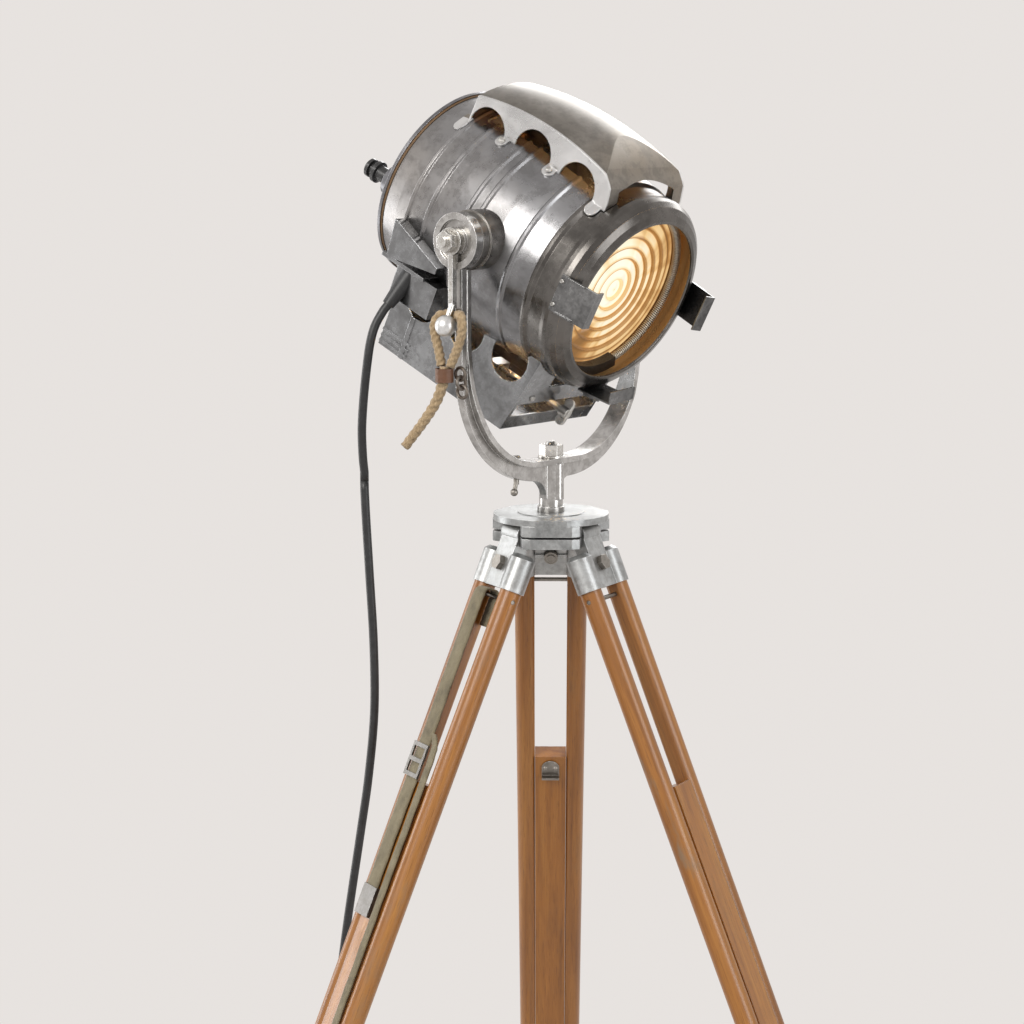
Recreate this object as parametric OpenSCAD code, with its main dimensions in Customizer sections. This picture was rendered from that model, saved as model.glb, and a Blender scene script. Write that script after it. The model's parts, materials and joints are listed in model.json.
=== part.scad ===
// Tripod spotlight floor lamp: a focusing lamp head in a yoke, on a wooden tripod.
// The tripod's axis is upright, the floor is z = 0, and the camera side is -Y.

/* [Pose] */
// Turn of the yoke about the tripod's axis, from -Y towards +X
head_pan = 51; // [40:1:60]
// Tilt of the lamp head below level
head_tilt = 25; // [10:1:30]
// Lean of each leg from upright
leg_angle = 23; // [20:0.5:26]

/* [Tripod head] */
// Radius of the round top plate
plate_r = 53; // [52:0.5:56]
// Thickness of the top plate
plate_t = 6; // [5:0.5:7]
// Distance from the axis to the face of each lug
lug_r = 51; // [49:0.5:52]
// Width of a lug over its outer corners
lug_w = 52; // [48:1:56]
// Width of a lug's flat face
lug_face_w = 38; // [34:1:42]
// Width of a lug at its root, beside the leg slots
lug_root_w = 56; // [54:0.5:58]
// Depth of the lugs under the top of the plate
lug_drop = 15.5; // [15:0.25:16.5]
// Gap between the lugs and the clamp plate
clamp_gap = 2; // [1:0.25:2.5]
// Thickness of the clamp plate
clamp_t = 9.2; // [8:0.2:11]
// Radius of the raised seat in the middle of the plate
seat_r = 30.5; // [20:0.5:34]
// Height of the raised seat
seat_h = 1; // [0.6:0.1:2]
// Radius of the hub inside the leg slots
hub_r = 22; // [18:0.5:23]
// Radius of the clamp bolt's shank
clamp_bolt_r = 4; // [3:0.5:5]
// Width across flats of the clamp bolt's head
clamp_bolt_af = 13; // [11:1:15]
// Radius of the pan stud
stud_r = 6; // [5:0.5:7]
// Width across flats of the pan nut
pan_nut_af = 19; // [17:1:21]
// Height of the pan nut
pan_nut_h = 10; // [7:0.5:11]

/* [Legs] */
// Distance of each leg's hinge from the tripod's axis
hinge_r = 35; // [34:0.5:36]
// Length of a leg from its hinge to the middle of its round toe
leg_len = 1285; // [1240:5:1320]
// Width of the tongue that swings between two lugs
tongue_w = 30; // [28:0.5:31]
// Thickness of the tongue
tongue_t = 13; // [9:0.5:14]
// Radius of the rounded top of the tongue
tongue_r = 9; // [8:0.25:9.25]
// Radius of the trunnions cast on the tongue
trunnion_r = 5; // [4:0.25:5.5]
// Length of each trunnion beyond the tongue
trunnion_len = 9; // [6:0.5:9.5]
// Distance along the leg from the hinge to the top of the ferrules
ferrule_top = 18; // [16:0.5:20]
// Distance along the leg from the hinge to the foot of the ferrules
ferrule_end = 53; // [48:0.5:56]
// Outer radius of a ferrule
ferrule_r = 12; // [11.5:0.25:12.5]
// Radius of a pole
pole_r = 10; // [9:0.25:10.5]
// Distance from the leg's middle line to the middle of a pole, at its top
pole_offset = 24.75; // [24:0.25:25.5]
// Angle at which the two poles draw together
pole_toe_in = 0.34; // [0.2:0.02:0.4]
// Distance along the leg from the hinge to the end of the poles
pole_end = 836; // [780:2:860]
// Width of the gap between the flats of the two poles
pole_gap = 31; // [29:0.5:32]
// Distance along the leg from the hinge to the cross rod
rod_at = 62; // [59:0.5:66]
// Radius of the cross rod
rod_r = 2; // [1.5:0.25:2.5]
// Distance along the leg from the hinge to the tongue's bolt
bolt_at = 31; // [27:0.5:35]
// Radius of the tongue's bolt
tongue_bolt_r = 4; // [3:0.5:4.5]
// Width across flats of the tongue's bolt
tongue_bolt_af = 13; // [11:1:15]
// Thickness of the sliding board
board_t = 18; // [15:0.5:19]
// Distance along a front leg from the hinge to the top of its board
board_top = 244; // [236:2:252]
// The same distance on the rear leg
board_top_rear = 266; // [258:2:274]
// Radius of the stop plate's round top
stop_r = 8.6; // [7:0.2:10]
// Thickness of the stop plate
stop_t = 1.4; // [1:0.1:1.6]
// Height of the collar at the foot of the poles
collar_h = 34; // [26:1:40]
// Wall of that collar
collar_wall = 3; // [2.5:0.25:4]
// Radius of the leg clamp screw
leg_screw_r = 4; // [3:0.25:4.5]
// Length of the shoe's socket along the board
shoe_h = 46; // [36:1:60]
// Wall of the shoe's socket
shoe_wall = 2.5; // [2:0.25:3.5]
// Radius of the shoe's round toe
toe_r = 15; // [14.5:0.25:17]
// Radius of the flat under the toe
sole_r = 6; // [4:0.5:8]

/* [Carrying strap] */
// Width of the webbing
strap_w = 20; // [16:1:22]
// Thickness of the webbing
strap_t = 2; // [1.5:0.25:2.5]
// Distance along the leg from the hinge to the strap's end
strap_end = 372; // [350:2:390]
// Distance along the leg from the hinge to the slide buckle
buckle_at = 226; // [210:1:240]

/* [Yoke] */
// Height of the tilt axis over the top of the plate
pivot_h = 254.5; // [253:0.5:262]
// Half width of the yoke over its outer web
yoke_hw = 129; // [127:0.5:131]
// Half width of the yoke inside its flange
yoke_in_hw = 117; // [116:0.5:119]
// Height of the yoke's lowest edge over the plate
yoke_low = 32; // [28:0.5:36]
// Height of the flange's upper face over the plate, in the middle
yoke_top = 51; // [49:0.25:52]
// Radius of the bend along the outer web
yoke_bend_r = 108; // [104:1:110]
// Radius of the bend inside the flange
yoke_in_bend_r = 89; // [85:1:91]
// Thickness of the flange
flange_t = 5; // [3.5:0.25:6]
// Width of the flange at its widest
flange_w = 21; // [16:0.5:24]
// Thickness of the web and the arms
web_t = 8; // [6:0.5:9]
// Radius of the round boss that turns on the stud
boss_r = 11; // [10:0.5:12]
// Radius of the round eye at the top of each arm
eye_r = 25; // [22:0.5:26]
// Thickness of that eye
eye_t = 9.5; // [8:0.25:11]
// Distance from the middle to the inner face of each eye
eye_at = 124.2; // [124:0.1:125]
// Radius of the pan lock's screw
lock_r = 2.5; // [2:0.25:2.75]
// Distance of the pan lock's screw from the middle
lock_at = 50; // [44:1:56]

/* [Tilt clamp] */
// Radius of the bolts on the tilt axis
pivot_bolt_r = 5; // [4:0.25:6]
// Width across flats of the nuts on the tilt axis
pivot_nut_af = 17; // [15:1:19]
// Thickness of the nuts on the tilt axis
pivot_nut_t = 8; // [6:0.5:9]
// Distance from the tilt axis to the middle of the ball
ball_drop = 73; // [70:0.5:80]
// Radius of the ball
ball_r = 9.5; // [8:0.25:9.75]
// Thickness of the lever's hub
lever_t = 6; // [5:0.25:8]
// Radius of the rope
rope_r = 4.5; // [3.5:0.25:4.75]

/* [Lamp housing] */
// Largest radius of the barrel
barrel_r = 102; // [100:0.5:103]
// How much the barrel draws in over its bow length
barrel_bow = 10; // [8:0.5:11]
// Wall of the barrel and its front
shell_t = 2; // [1.6:0.1:2.6]
// Distance of the barrel's axis under the tilt axis
axis_drop = 11.6; // [10:0.2:13]
// Distance from the tilt axis back to the rear rim
rear_at = 121; // [118:1:126]
// Distance from the tilt axis forward to the front seam
seam_at = 62; // [60:0.5:64]
// Distance from the tilt axis forward to the front opening
front_at = 108; // [106:0.5:112]
// Radius of the front opening
opening_r = 75.7; // [72:0.1:76]
// Radius of the front's widest part
bezel_r = 94.5; // [93.5:0.5:95.5]
// Height of the rolled beads
bead_h = 1.6; // [1:0.1:1.8]
// Half width of a bead at its foot
bead_w = 3; // [2.5:0.25:3.5]
// Depth of the domed rear cap
cap_dome = 30; // [24:1:34]
// Thickness of the gasket behind the barrel
gasket_t = 2.4; // [1.5:0.1:3]
// Thickness of the rear cap's rim
cap_rim_t = 3.2; // [2.5:0.1:4]
// Radius of the drum that carries each bolt
drum_r = 25; // [22:0.5:26]

/* [Cowl and tray] */
// Half width of the cowl on top
cowl_hw = 54; // [50:0.5:58]
// Distance from the tilt axis back to the cowl's rear
cowl_rear = 90; // [86:1:94]
// Distance from the tilt axis forward to the cowl's front
cowl_front = 82; // [80:0.5:84]
// Height of the cowl's crown over the barrel's axis
cowl_crown = 130; // [126:0.5:133]
// Half width of the lamp tray
tray_hw = 63; // [60:0.5:66]
// Depth of the tray's floor under the barrel's axis
tray_drop = 148; // [144:0.5:149]
// Distance from the tilt axis back to the tray's rear
tray_rear = 98; // [94:1:99]
// Distance from the tilt axis forward to the tray's front, at its floor
tray_front = 65; // [62:0.5:68]
// Radius of the scalloped vents
scallop_r = 21.5; // [18:0.5:22]
// Distance between the middles of the vents
scallop_pitch = 56; // [54:0.5:58]
// Thickness of the sheet metal
sheet_t = 1.6; // [1.2:0.1:2]

/* [Optics and lamp] */
// Radius of the stepped lens
lens_r = 77; // [76:0.25:78]
// Distance from the tilt axis forward to the lens's back
lens_at = 77; // [76:0.5:80]
// Thickness of the lens at its rim
lens_t = 5; // [4:0.25:6]
// Number of steps in the lens
lens_steps = 7; // [5:1:9]
// Radius of the ring that the lens spring lies along
spring_ring_r = 79.5; // [79:0.25:80]
// Radius of the lens spring's curls
spring_r = 3.2; // [2.6:0.1:3.4]
// Radius of the lens spring's wire
spring_wire_r = 0.75; // [0.6:0.05:0.8]
// Number of curls in the lens spring
spring_curls = 72; // [60:1:76]
// Distance from the tilt axis back to the lamp's light centre
lamp_back = 30; // [26:1:34]
// Radius of the lamp's glass
bulb_r = 19; // [15:0.5:24]
// Radius of the mirror behind the lamp
mirror_r = 42; // [36:1:44]

/* [Cord] */
// Radius of the cord
cord_r = 4; // [3.5:0.25:4.25]
// Radius of the coil at its middle turn
coil_r = 44; // [42:1:48]
// Turns in each of the coil's two layers
coil_turns = 2.5; // [1.5:1:3.5]

/* [Hidden] */
$fn = 64;

leg_right = 60;
leg_left = -60;
leg_rear = 180;
leg_azimuths = [leg_right, leg_left, leg_rear];
lug_azimuths = [0, 120, -120];

// Clearances: a fit that turns or slides, two faces that meet, a board in its guide
fit = 0.05;
seat_fit = 0.02;
face_gap = 0.05;
guide_gap = 0.25;
soft_gap = 0.4;
cut = 1;

hinge_drop = lug_drop + clamp_gap / 2;
toe_z = sqrt(toe_r * toe_r - sole_r * sole_r);
top_z = toe_z + leg_len * cos(leg_angle) + hinge_drop;
foot_r = hinge_r + leg_len * sin(leg_angle);
axis_y = -foot_r / 4;
slot_w = tongue_w + 0.6;
slot_in = hinge_r - tongue_r - 1;
clamp_top = -lug_drop - clamp_gap;
clamp_low = clamp_top - clamp_t;
hex = 2 / sqrt(3);

// ---------- Frames ----------

module top_frame() {
    translate([0, axis_y, top_z]) children();
}

module yoke_frame() {
    top_frame() rotate([0, 0, head_pan]) children();
}

// Along the barrel: x across, y up, z forward from the tilt axis
module barrel_frame() {
    yoke_frame() translate([0, 0, pivot_h]) rotate([head_tilt, 0, 0])
        translate([0, 0, -axis_drop]) rotate([90, 0, 0]) children();
}

// Along a leg: x across, -y outwards, -z down the leg from its hinge
module leg_frame(azimuth) {
    top_frame() rotate([0, 0, azimuth]) translate([0, -hinge_r, -hinge_drop])
        rotate([-leg_angle, 0, 0]) children();
}

// Along one pole of a leg, from the level of the ferrule's top
module pole_frame(side) {
    translate([side * pole_offset, 0, -ferrule_top]) rotate([0, side * pole_toe_in, 0]) children();
}

// Lays a shape out from -X to +X about the origin
module across(length) {
    rotate([0, 90, 0]) translate([0, 0, -length / 2]) linear_extrude(length) children();
}

module hex_nut(across_flats, height, bore_r) {
    difference() {
        cylinder(d = across_flats * hex, h = height, $fn = 6);
        translate([0, 0, -cut]) cylinder(r = bore_r, h = height + 2 * cut);
    }
}

module ring(outer_r, inner_r, height) {
    difference() {
        cylinder(r = outer_r, h = height);
        translate([0, 0, -cut]) cylinder(r = inner_r, h = height + 2 * cut);
    }
}

// ---------- Swept tubes ----------

function unit(v) = v / norm(v);
function tangent(path, i) = unit(path[min(i + 1, len(path) - 1)] - path[max(i - 1, 0)]);
function square_to(v, along) = unit(v - (v * along) * along);
function carried(path, sides, i = 0, last = [0.31, 0.17, 0.93]) =
    let (side = square_to(last, tangent(path, i)))
    i == len(path) - 1 ? [side] : concat([side], carried(path, sides, i + 1, side));

// One unbroken tube along a path, with flat ends square to it
module tube(path, r, sides) {
    normals = carried(path, sides);
    rings = len(path);
    points = [for (i = [0 : rings - 1]) for (k = [0 : sides - 1])
        let (n = normals[i], b = cross(tangent(path, i), n), a = 360 * k / sides)
        path[i] + r * (cos(a) * n + sin(a) * b)];
    walls = [for (i = [0 : rings - 2]) for (k = [0 : sides - 1]) for (half = [0, 1])
        let (a = i * sides + k, b = i * sides + (k + 1) % sides, c = a + sides, d = b + sides)
        half == 0 ? [a, c, b] : [b, c, d]];
    start = [for (k = [1 : sides - 2]) [0, k, k + 1]];
    last = (rings - 1) * sides;
    end = [for (k = [1 : sides - 2]) [last, last + k + 1, last + k]];
    polyhedron(points = points, faces = concat(walls, start, end));
}

// A smooth curve through hand-chosen points
function curve_point(p0, p1, p2, p3, t) = 0.5 * (2 * p1 + (p2 - p0) * t
    + (2 * p0 - 5 * p1 + 4 * p2 - p3) * t * t + (3 * p1 - p0 - 3 * p2 + p3) * t * t * t);
function smooth(points, steps) = concat([for (i = [0 : len(points) - 2]) for (k = [0 : steps - 1])
    let (p1 = points[i], p2 = points[i + 1],
        p0 = i == 0 ? 2 * p1 - p2 : points[i - 1],
        p3 = i == len(points) - 2 ? 2 * p2 - p1 : points[i + 2])
    curve_point(p0, p1, p2, p3, k / steps)], [points[len(points) - 1]]);

// ---------- Tripod head ----------

module lug_plan(inset = 0) {
    difference() {
        union() {
            circle(r = hub_r);
            for (a = lug_azimuths)
                rotate(a) polygon([[-lug_root_w / 2, 0], [-lug_root_w / 2, -hinge_r],
                    [-lug_w / 2, -lug_r + lug_chamfer], [-lug_face_w / 2, -lug_r + inset],
                    [lug_face_w / 2, -lug_r + inset], [lug_w / 2, -lug_r + lug_chamfer],
                    [lug_root_w / 2, -hinge_r], [lug_root_w / 2, 0]]);
        }
        for (a = leg_azimuths)
            rotate(a) translate([-slot_w / 2, -2 * plate_r]) square([slot_w, 2 * plate_r - slot_in]);
    }
}

lug_chamfer = 4;

module plate_plan() {
    intersection() {
        circle(r = plate_r);
        for_all_lugs();
    }
}

module for_all_lugs() {
    intersection_for(a = lug_azimuths)
        rotate(a) translate([-2 * plate_r, -lug_r]) square([4 * plate_r, 4 * plate_r]);
}

module trunnion_seats() {
    for (a = leg_azimuths)
        rotate([0, 0, a]) translate([0, -hinge_r, -hinge_drop])
            across(tongue_w + 2 * trunnion_len + 2 * guide_gap) circle(r = trunnion_r + fit);
}

module head_casting() {
    color("#8f9190") top_frame() difference() {
        union() {
            translate([0, 0, -plate_t]) linear_extrude(plate_t) plate_plan();
            cylinder(r = seat_r, h = seat_h);
            translate([0, 0, -lug_drop]) linear_extrude(lug_drop - plate_t) lug_plan();
        }
        trunnion_seats();
        translate([0, 0, -stud_depth]) cylinder(r = stud_r + seat_fit, h = stud_depth + seat_h + cut);
        translate([0, 0, -lug_drop - cut]) cylinder(r = clamp_bolt_r + seat_fit, h = lug_drop);
    }
}

stud_depth = 8;

module clamp_plate() {
    color("#8f9190") top_frame() difference() {
        translate([0, 0, clamp_low]) linear_extrude(clamp_t) lug_plan(1);
        trunnion_seats();
        translate([0, 0, clamp_low - cut]) cylinder(r = clamp_bolt_r + 0.2, h = clamp_t + 2 * cut);
    }
}

washer_t = 1.6;
bolt_head_h = 5.3;

module clamp_bolt() {
    color("#a9a79f") top_frame() {
        translate([0, 0, clamp_low - washer_t]) ring(2 * clamp_bolt_r, clamp_bolt_r + seat_fit, washer_t);
        translate([0, 0, clamp_low - washer_t - bolt_head_h])
            cylinder(d = clamp_bolt_af * hex, h = bolt_head_h, $fn = 6);
        translate([0, 0, clamp_low - washer_t - cut])
            cylinder(r = clamp_bolt_r, h = cut + washer_t + clamp_t + clamp_gap + lug_drop - stud_depth - cut);
    }
}

pan_washer_t = 2;
nut_low = yoke_top + face_gap + pan_washer_t;
stud_top = nut_low + pan_nut_h;

module pan_stud() {
    color("#b5b3aa") top_frame() {
        translate([0, 0, -stud_depth + 0.3]) cylinder(r = stud_r, h = stud_top + stud_depth - 0.3);
        translate([0, 0, stud_top]) cylinder(r1 = stud_r, r2 = stud_r - 2, h = 3);
        translate([0, 0, yoke_top + face_gap]) ring(2 * stud_r, stud_r + seat_fit, pan_washer_t);
        translate([0, 0, nut_low]) hex_nut(pan_nut_af, pan_nut_h, stud_r + seat_fit);
    }
}

// ---------- Legs ----------

module leg_bracket(azimuth) {
    color("#b9bab6") leg_frame(azimuth) difference() {
        union() {
            across(tongue_w) circle(r = tongue_r);
            across(tongue_w + 2 * trunnion_len) circle(r = trunnion_r);
            translate([-tongue_w / 2, -tongue_t / 2, -ferrule_end])
                cube([tongue_w, tongue_t, ferrule_end]);
            translate([-tongue_w / 2, tongue_t / 2 - cut, -bolt_at - rib_h / 2])
                cube([tongue_w, cut + rib_t, rib_h]);
            for (side = [-1, 1])
                pole_frame(side) {
                    translate([0, 0, ferrule_top - ferrule_end])
                        cylinder(r = ferrule_r, h = ferrule_end - ferrule_top - ferrule_shoulder);
                    translate([0, 0, -ferrule_shoulder])
                        cylinder(r1 = ferrule_r, r2 = ferrule_r - ferrule_shoulder, h = ferrule_shoulder);
                }
        }
        for (side = [-1, 1])
            pole_frame(side) translate([0, 0, -3 * ferrule_end])
                cylinder(r = pole_r + seat_fit, h = 3 * ferrule_end - socket_cap);
        translate([0, 0, -bolt_at]) rotate([90, 0, 0])
            cylinder(r = tongue_bolt_r + seat_fit, h = 2 * tongue_t, center = true);
    }
}

rib_h = 3;
rib_t = 1.5;
ferrule_shoulder = 4;
socket_cap = 5;

module leg_poles(azimuth) {
    pole_len = (pole_end - ferrule_top) / cos(pole_toe_in);
    color("#b9712c") leg_frame(azimuth) difference() {
        for (side = [-1, 1])
            pole_frame(side) translate([0, 0, -pole_len])
                cylinder(r = pole_r, h = pole_len - socket_cap - 0.3);
        translate([-pole_gap / 2, -2 * pole_r, -pole_end - 5]) cube([pole_gap, 4 * pole_r, pole_end + 5 - ferrule_end]);
        translate([0, 0, -rod_at]) across(4 * pole_offset) circle(r = rod_r + seat_fit);
    }
}

module collar_plan(grow) {
    low_offset = pole_offset - (pole_end - ferrule_top) * tan(pole_toe_in);
    for (side = [-1, 1])
        translate([side * low_offset, 0]) circle(r = pole_r + grow);
    square([2 * low_offset, 2 * (pole_r + grow)], center = true);
}

module collar_bore() {
    for (side = [-1, 1])
        pole_frame(side) translate([0, 0, -pole_end]) cylinder(r = pole_r + seat_fit + 0.05, h = 2 * collar_h);
    translate([-pole_gap / 2, -board_t / 2 - guide_gap, -pole_end - cut])
        cube([pole_gap, board_t + 2 * guide_gap, 2 * collar_h]);
}

collar_low = 3;
screw_at = pole_end - collar_low + collar_h / 2 - collar_h;

module leg_fittings(azimuth) {
    color("#8d8b84") leg_frame(azimuth) {
        translate([0, 0, -rod_at]) across(2 * (pole_offset + pole_r - 1)) circle(r = rod_r);
        translate([0, -tongue_t / 2 - bolt_head_h, -bolt_at]) rotate([-90, 0, 0])
            cylinder(d = tongue_bolt_af * hex, h = bolt_head_h, $fn = 6);
        translate([0, -tongue_t / 2 - cut, -bolt_at]) rotate([-90, 0, 0])
            cylinder(r = tongue_bolt_r, h = tongue_t + rib_t + 5 + cut);
        translate([0, tongue_t / 2 + rib_t, -bolt_at]) rotate([-90, 0, 0])
            ring(tongue_bolt_af / 2, tongue_bolt_r + seat_fit, 4);
        difference() {
            translate([0, 0, collar_low - pole_end]) linear_extrude(collar_h) collar_plan(collar_wall);
            collar_bore();
            translate([0, 0, -screw_at]) rotate([90, 0, 0])
                cylinder(r = leg_screw_r + fit, h = 3 * pole_r);
        }
    }
}

module wing(span, depth, thickness, bore_r) {
    difference() {
        union() {
            cylinder(r = bore_r + 3, h = 9);
            intersection() {
                translate([-span / 2, -thickness / 2, 0]) cube([span, thickness, depth]);
                rotate([90, 0, 0]) translate([0, 0, -thickness]) linear_extrude(2 * thickness) union() {
                    for (side = [-1, 1])
                        translate([side * (span / 2 - depth / 2), depth / 2]) circle(r = depth / 2);
                    polygon([[-span / 2 + depth / 2, depth], [-4, 0], [4, 0], [span / 2 - depth / 2, depth]]);
                }
            }
        }
        translate([0, 0, -cut]) cylinder(r = bore_r, h = 9 - 2 + cut);
    }
}

module leg_screw(azimuth) {
    outer = pole_r + collar_wall;
    color("#a3a19a") leg_frame(azimuth) translate([0, 0, -screw_at]) rotate([90, 0, 0]) {
        translate([0, 0, board_t / 2 + 0.1]) cylinder(r = leg_screw_r, h = outer - board_t / 2 + 7);
        translate([0, 0, outer + 1]) wing(40, 14, 4, leg_screw_r - cut);
    }
}

board_w = pole_gap - 2 * guide_gap;

function board_start(azimuth) = azimuth == leg_rear ? board_top_rear : board_top;

module board(azimuth) {
    color("#c07a30") leg_frame(azimuth)
        translate([-board_w / 2, -board_t / 2, -leg_len + toe_r + shoe_solid])
            cube([board_w, board_t, leg_len - toe_r - shoe_solid - board_start(azimuth)]);
}

shoe_solid = 14;
stop_h = 23;

// A small plate on the board's inner face, with a lip that stops the slide at the collar
module board_stop(azimuth) {
    color("#6d655c") leg_frame(azimuth) translate([0, board_t / 2 + seat_fit, -board_start(azimuth)])
        rotate([-90, 0, 0]) {
            linear_extrude(stop_t) {
                translate([0, stop_r + 4]) circle(r = stop_r);
                translate([-stop_r, stop_r + 4]) square([2 * stop_r, stop_h - stop_r - 4]);
            }
            translate([-stop_r, stop_h - 2, 0]) cube([2 * stop_r, 2, 7]);
            for (side = [-1, 1])
                translate([side * 4.8, stop_r + 4.4, stop_t - 0.2]) cylinder(r1 = 2.6, r2 = 1.6, h = 1.4);
        }
}

module shoe(azimuth) {
    low = -leg_len + toe_r + shoe_solid;
    half_w = board_w / 2 + seat_fit + shoe_wall;
    half_t = board_t / 2 + seat_fit + shoe_wall;
    color("#84827c") difference() {
        leg_frame(azimuth) difference() {
            union() {
                translate([-half_w, -half_t, low - shoe_wall]) cube([2 * half_w, 2 * half_t, shoe_h]);
                translate([0, 0, -leg_len]) sphere(r = toe_r);
                translate([0, 0, -leg_len]) cylinder(r1 = toe_r * 0.6, r2 = half_t, h = low - shoe_wall + leg_len + cut);
            }
            translate([-board_w / 2 - seat_fit, -board_t / 2 - seat_fit, low - seat_fit])
                cube([board_w + 2 * seat_fit, board_t + 2 * seat_fit, shoe_h * 2]);
        }
        translate([-2 * foot_r, -2 * foot_r, -2 * toe_r]) cube([4 * foot_r, 4 * foot_r, 2 * toe_r]);
    }
}

// ---------- Carrying strap, on the left leg ----------

strap_mid = -9;
strap_x = strap_mid - strap_w / 2;
strap_y = pole_r + soft_gap;
strap_top = ferrule_end + 3;
tail_w = 10;
tail_x = 7;
tail_hang = 110;
hook_x = -14;

module strap_run(x, y, from, to, width) {
    translate([x, -y - strap_t, -to]) cube([width, strap_t, to - from]);
}

// The webbing hooks over the cross rod, and its loose tail hangs beside the main run
module carry_strap() {
    color("#8d8361") leg_frame(leg_left) {
        strap_run(strap_x, strap_y, strap_top, strap_end, strap_w);
        strap_run(tail_x, strap_y, buckle_at - 30, strap_end + tail_hang, tail_w);
        strap_run(0, strap_y, buckle_at - 30, buckle_at - 20, tail_x + 1);
        translate([hook_x, -strap_y - strap_t, -strap_top - strap_t])
            cube([strap_x + strap_w - hook_x, strap_y + 2 * strap_t + rod_r + 0.5, strap_t]);
        translate([hook_x, rod_r + 0.5, -strap_top - 36]) cube([strap_x + strap_w - hook_x, strap_t, 36]);
    }
}

module strap_buckle() {
    frame_t = 2;
    frame_y = -strap_y - strap_t - 0.4 - frame_t;
    color("#b8b8b4") leg_frame(leg_left) {
        difference() {
            translate([strap_x - 3, frame_y, -buckle_at - 16]) cube([strap_w + 6, frame_t, 32]);
            for (low = [-12, 2])
                translate([strap_x, frame_y - cut, -buckle_at + low]) cube([strap_w, frame_t + 2 * cut, 10]);
        }
        difference() {
            translate([strap_x - 2, -strap_y - strap_t - 1.5, -strap_end - 3]) cube([strap_w + 4, strap_t + 1.7, 28]);
            translate([strap_x - 0.3, -strap_y - strap_t - 0.3, -strap_end - 0.4]) cube([strap_w + 0.6, strap_t + 2, 60]);
        }
    }
}

// ---------- Yoke ----------

module u_plan(half_w, low, bend_r) {
    translate([-half_w, low + bend_r]) square([2 * half_w, pivot_h - low - bend_r]);
    translate([-half_w + bend_r, low]) square([2 * (half_w - bend_r), bend_r + cut]);
    for (side = [-1, 1])
        translate([side * (half_w - bend_r), low + bend_r]) circle(r = bend_r);
}

module upright(thickness) {
    rotate([90, 0, 0]) translate([0, 0, -thickness / 2]) linear_extrude(thickness) children();
}

flange_narrow = 9;
boss_low = seat_h + face_gap;

module yoke_flange() {
    intersection() {
        upright(flange_w) difference() {
            u_plan(yoke_in_hw + flange_t, yoke_top - flange_t, yoke_in_bend_r + flange_t);
            u_plan(yoke_in_hw, yoke_top, yoke_in_bend_r);
        }
        translate([-yoke_hw, 0, 0]) rotate([90, 0, 90]) linear_extrude(2 * yoke_hw)
            polygon([[-flange_w / 2, 0], [flange_w / 2, 0], [flange_w / 2, 100], [flange_narrow / 2, 160],
                [flange_narrow / 2, pivot_h], [-flange_narrow / 2, pivot_h],
                [-flange_narrow / 2, 160], [-flange_w / 2, 100]]);
    }
}

module yoke_gusset(side, reach) {
    upright(web_t) difference() {
        translate([side > 0 ? boss_r - 2 : -boss_r - reach, yoke_low - reach]) square([reach + 2, reach + 4]);
        translate([side * (boss_r + reach), yoke_low - reach]) circle(r = reach);
    }
}

module yoke() {
    color("#86837e") yoke_frame() difference() {
        union() {
            upright(web_t) difference() {
                u_plan(yoke_hw, yoke_low, yoke_bend_r);
                u_plan(yoke_in_hw, yoke_top, yoke_in_bend_r);
            }
            yoke_flange();
            yoke_gusset(-1, 18);
            yoke_gusset(1, 9);
            translate([0, 0, boss_low]) cylinder(r = boss_r, h = yoke_top - boss_low);
            translate([0, 0, boss_low]) cylinder(r = boss_r + 1.5, h = 5);
            translate([0, -boss_r + 3.5, boss_low + 12]) cylinder(r = 6, h = yoke_top - boss_low - 17);
            for (side = [-1, 1])
                translate([side * (eye_at + eye_t / 2), 0, pivot_h]) across(eye_t) circle(r = eye_r);
        }
        translate([0, 0, -cut]) cylinder(r = stud_r + fit, h = yoke_top + 2 * cut);
        translate([0, 0, pivot_h]) {
            across(2 * eye_at) circle(r = eye_r + 1);
            across(3 * eye_at) circle(r = pivot_bolt_r + fit);
        }
        for (side = [-1, 1])
            translate([side * (eye_at + eye_t), 0, pivot_h]) across(6) difference() {
                circle(r = eye_r - 6);
                circle(r = eye_r - 13);
            }
        translate([-lock_at, 0, 0]) cylinder(r = lock_r + fit, h = yoke_top + 10);
    }
}

// Height of the flange's upper face and of the web's lower edge at the pan lock
lock_in = max(0, lock_at - yoke_in_hw + yoke_in_bend_r);
lock_out = max(0, lock_at - yoke_hw + yoke_bend_r);
lock_top = yoke_top + yoke_in_bend_r - sqrt(pow(yoke_in_bend_r, 2) - pow(lock_in + 5, 2));
lock_low = yoke_low + yoke_bend_r - sqrt(pow(yoke_bend_r, 2) - pow(lock_out + 5, 2));

module pan_lock() {
    color("#8b8985") yoke_frame() translate([-lock_at, 0, 0]) {
        translate([0, 0, lock_low - 6]) cylinder(r = lock_r, h = lock_top - lock_low + 7);
        translate([0, 0, lock_top + 0.3]) cylinder(r1 = 4.2, r2 = 3, h = 2.2);
        translate([-1, 0, lock_low - 6]) rotate([0, 12, 0]) translate([0, 0, -5]) cylinder(r = 2, h = 8);
        translate([-3, 0, lock_low - 13]) sphere(r = 3.5);
    }
}

// ---------- Tilt clamp on the left arm ----------

lever_x = eye_at + eye_t + 0.3;
lever_end = ball_drop - 15;
ball_x = eye_at + eye_t + 12.3;

stem_dx = ball_x - lever_x - 3.5;
stem_dz = ball_drop - lever_end + 3;
stem_tilt = atan2(stem_dx, stem_dz);
stem_r = 2.8;
ball_seat = 4;

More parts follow.
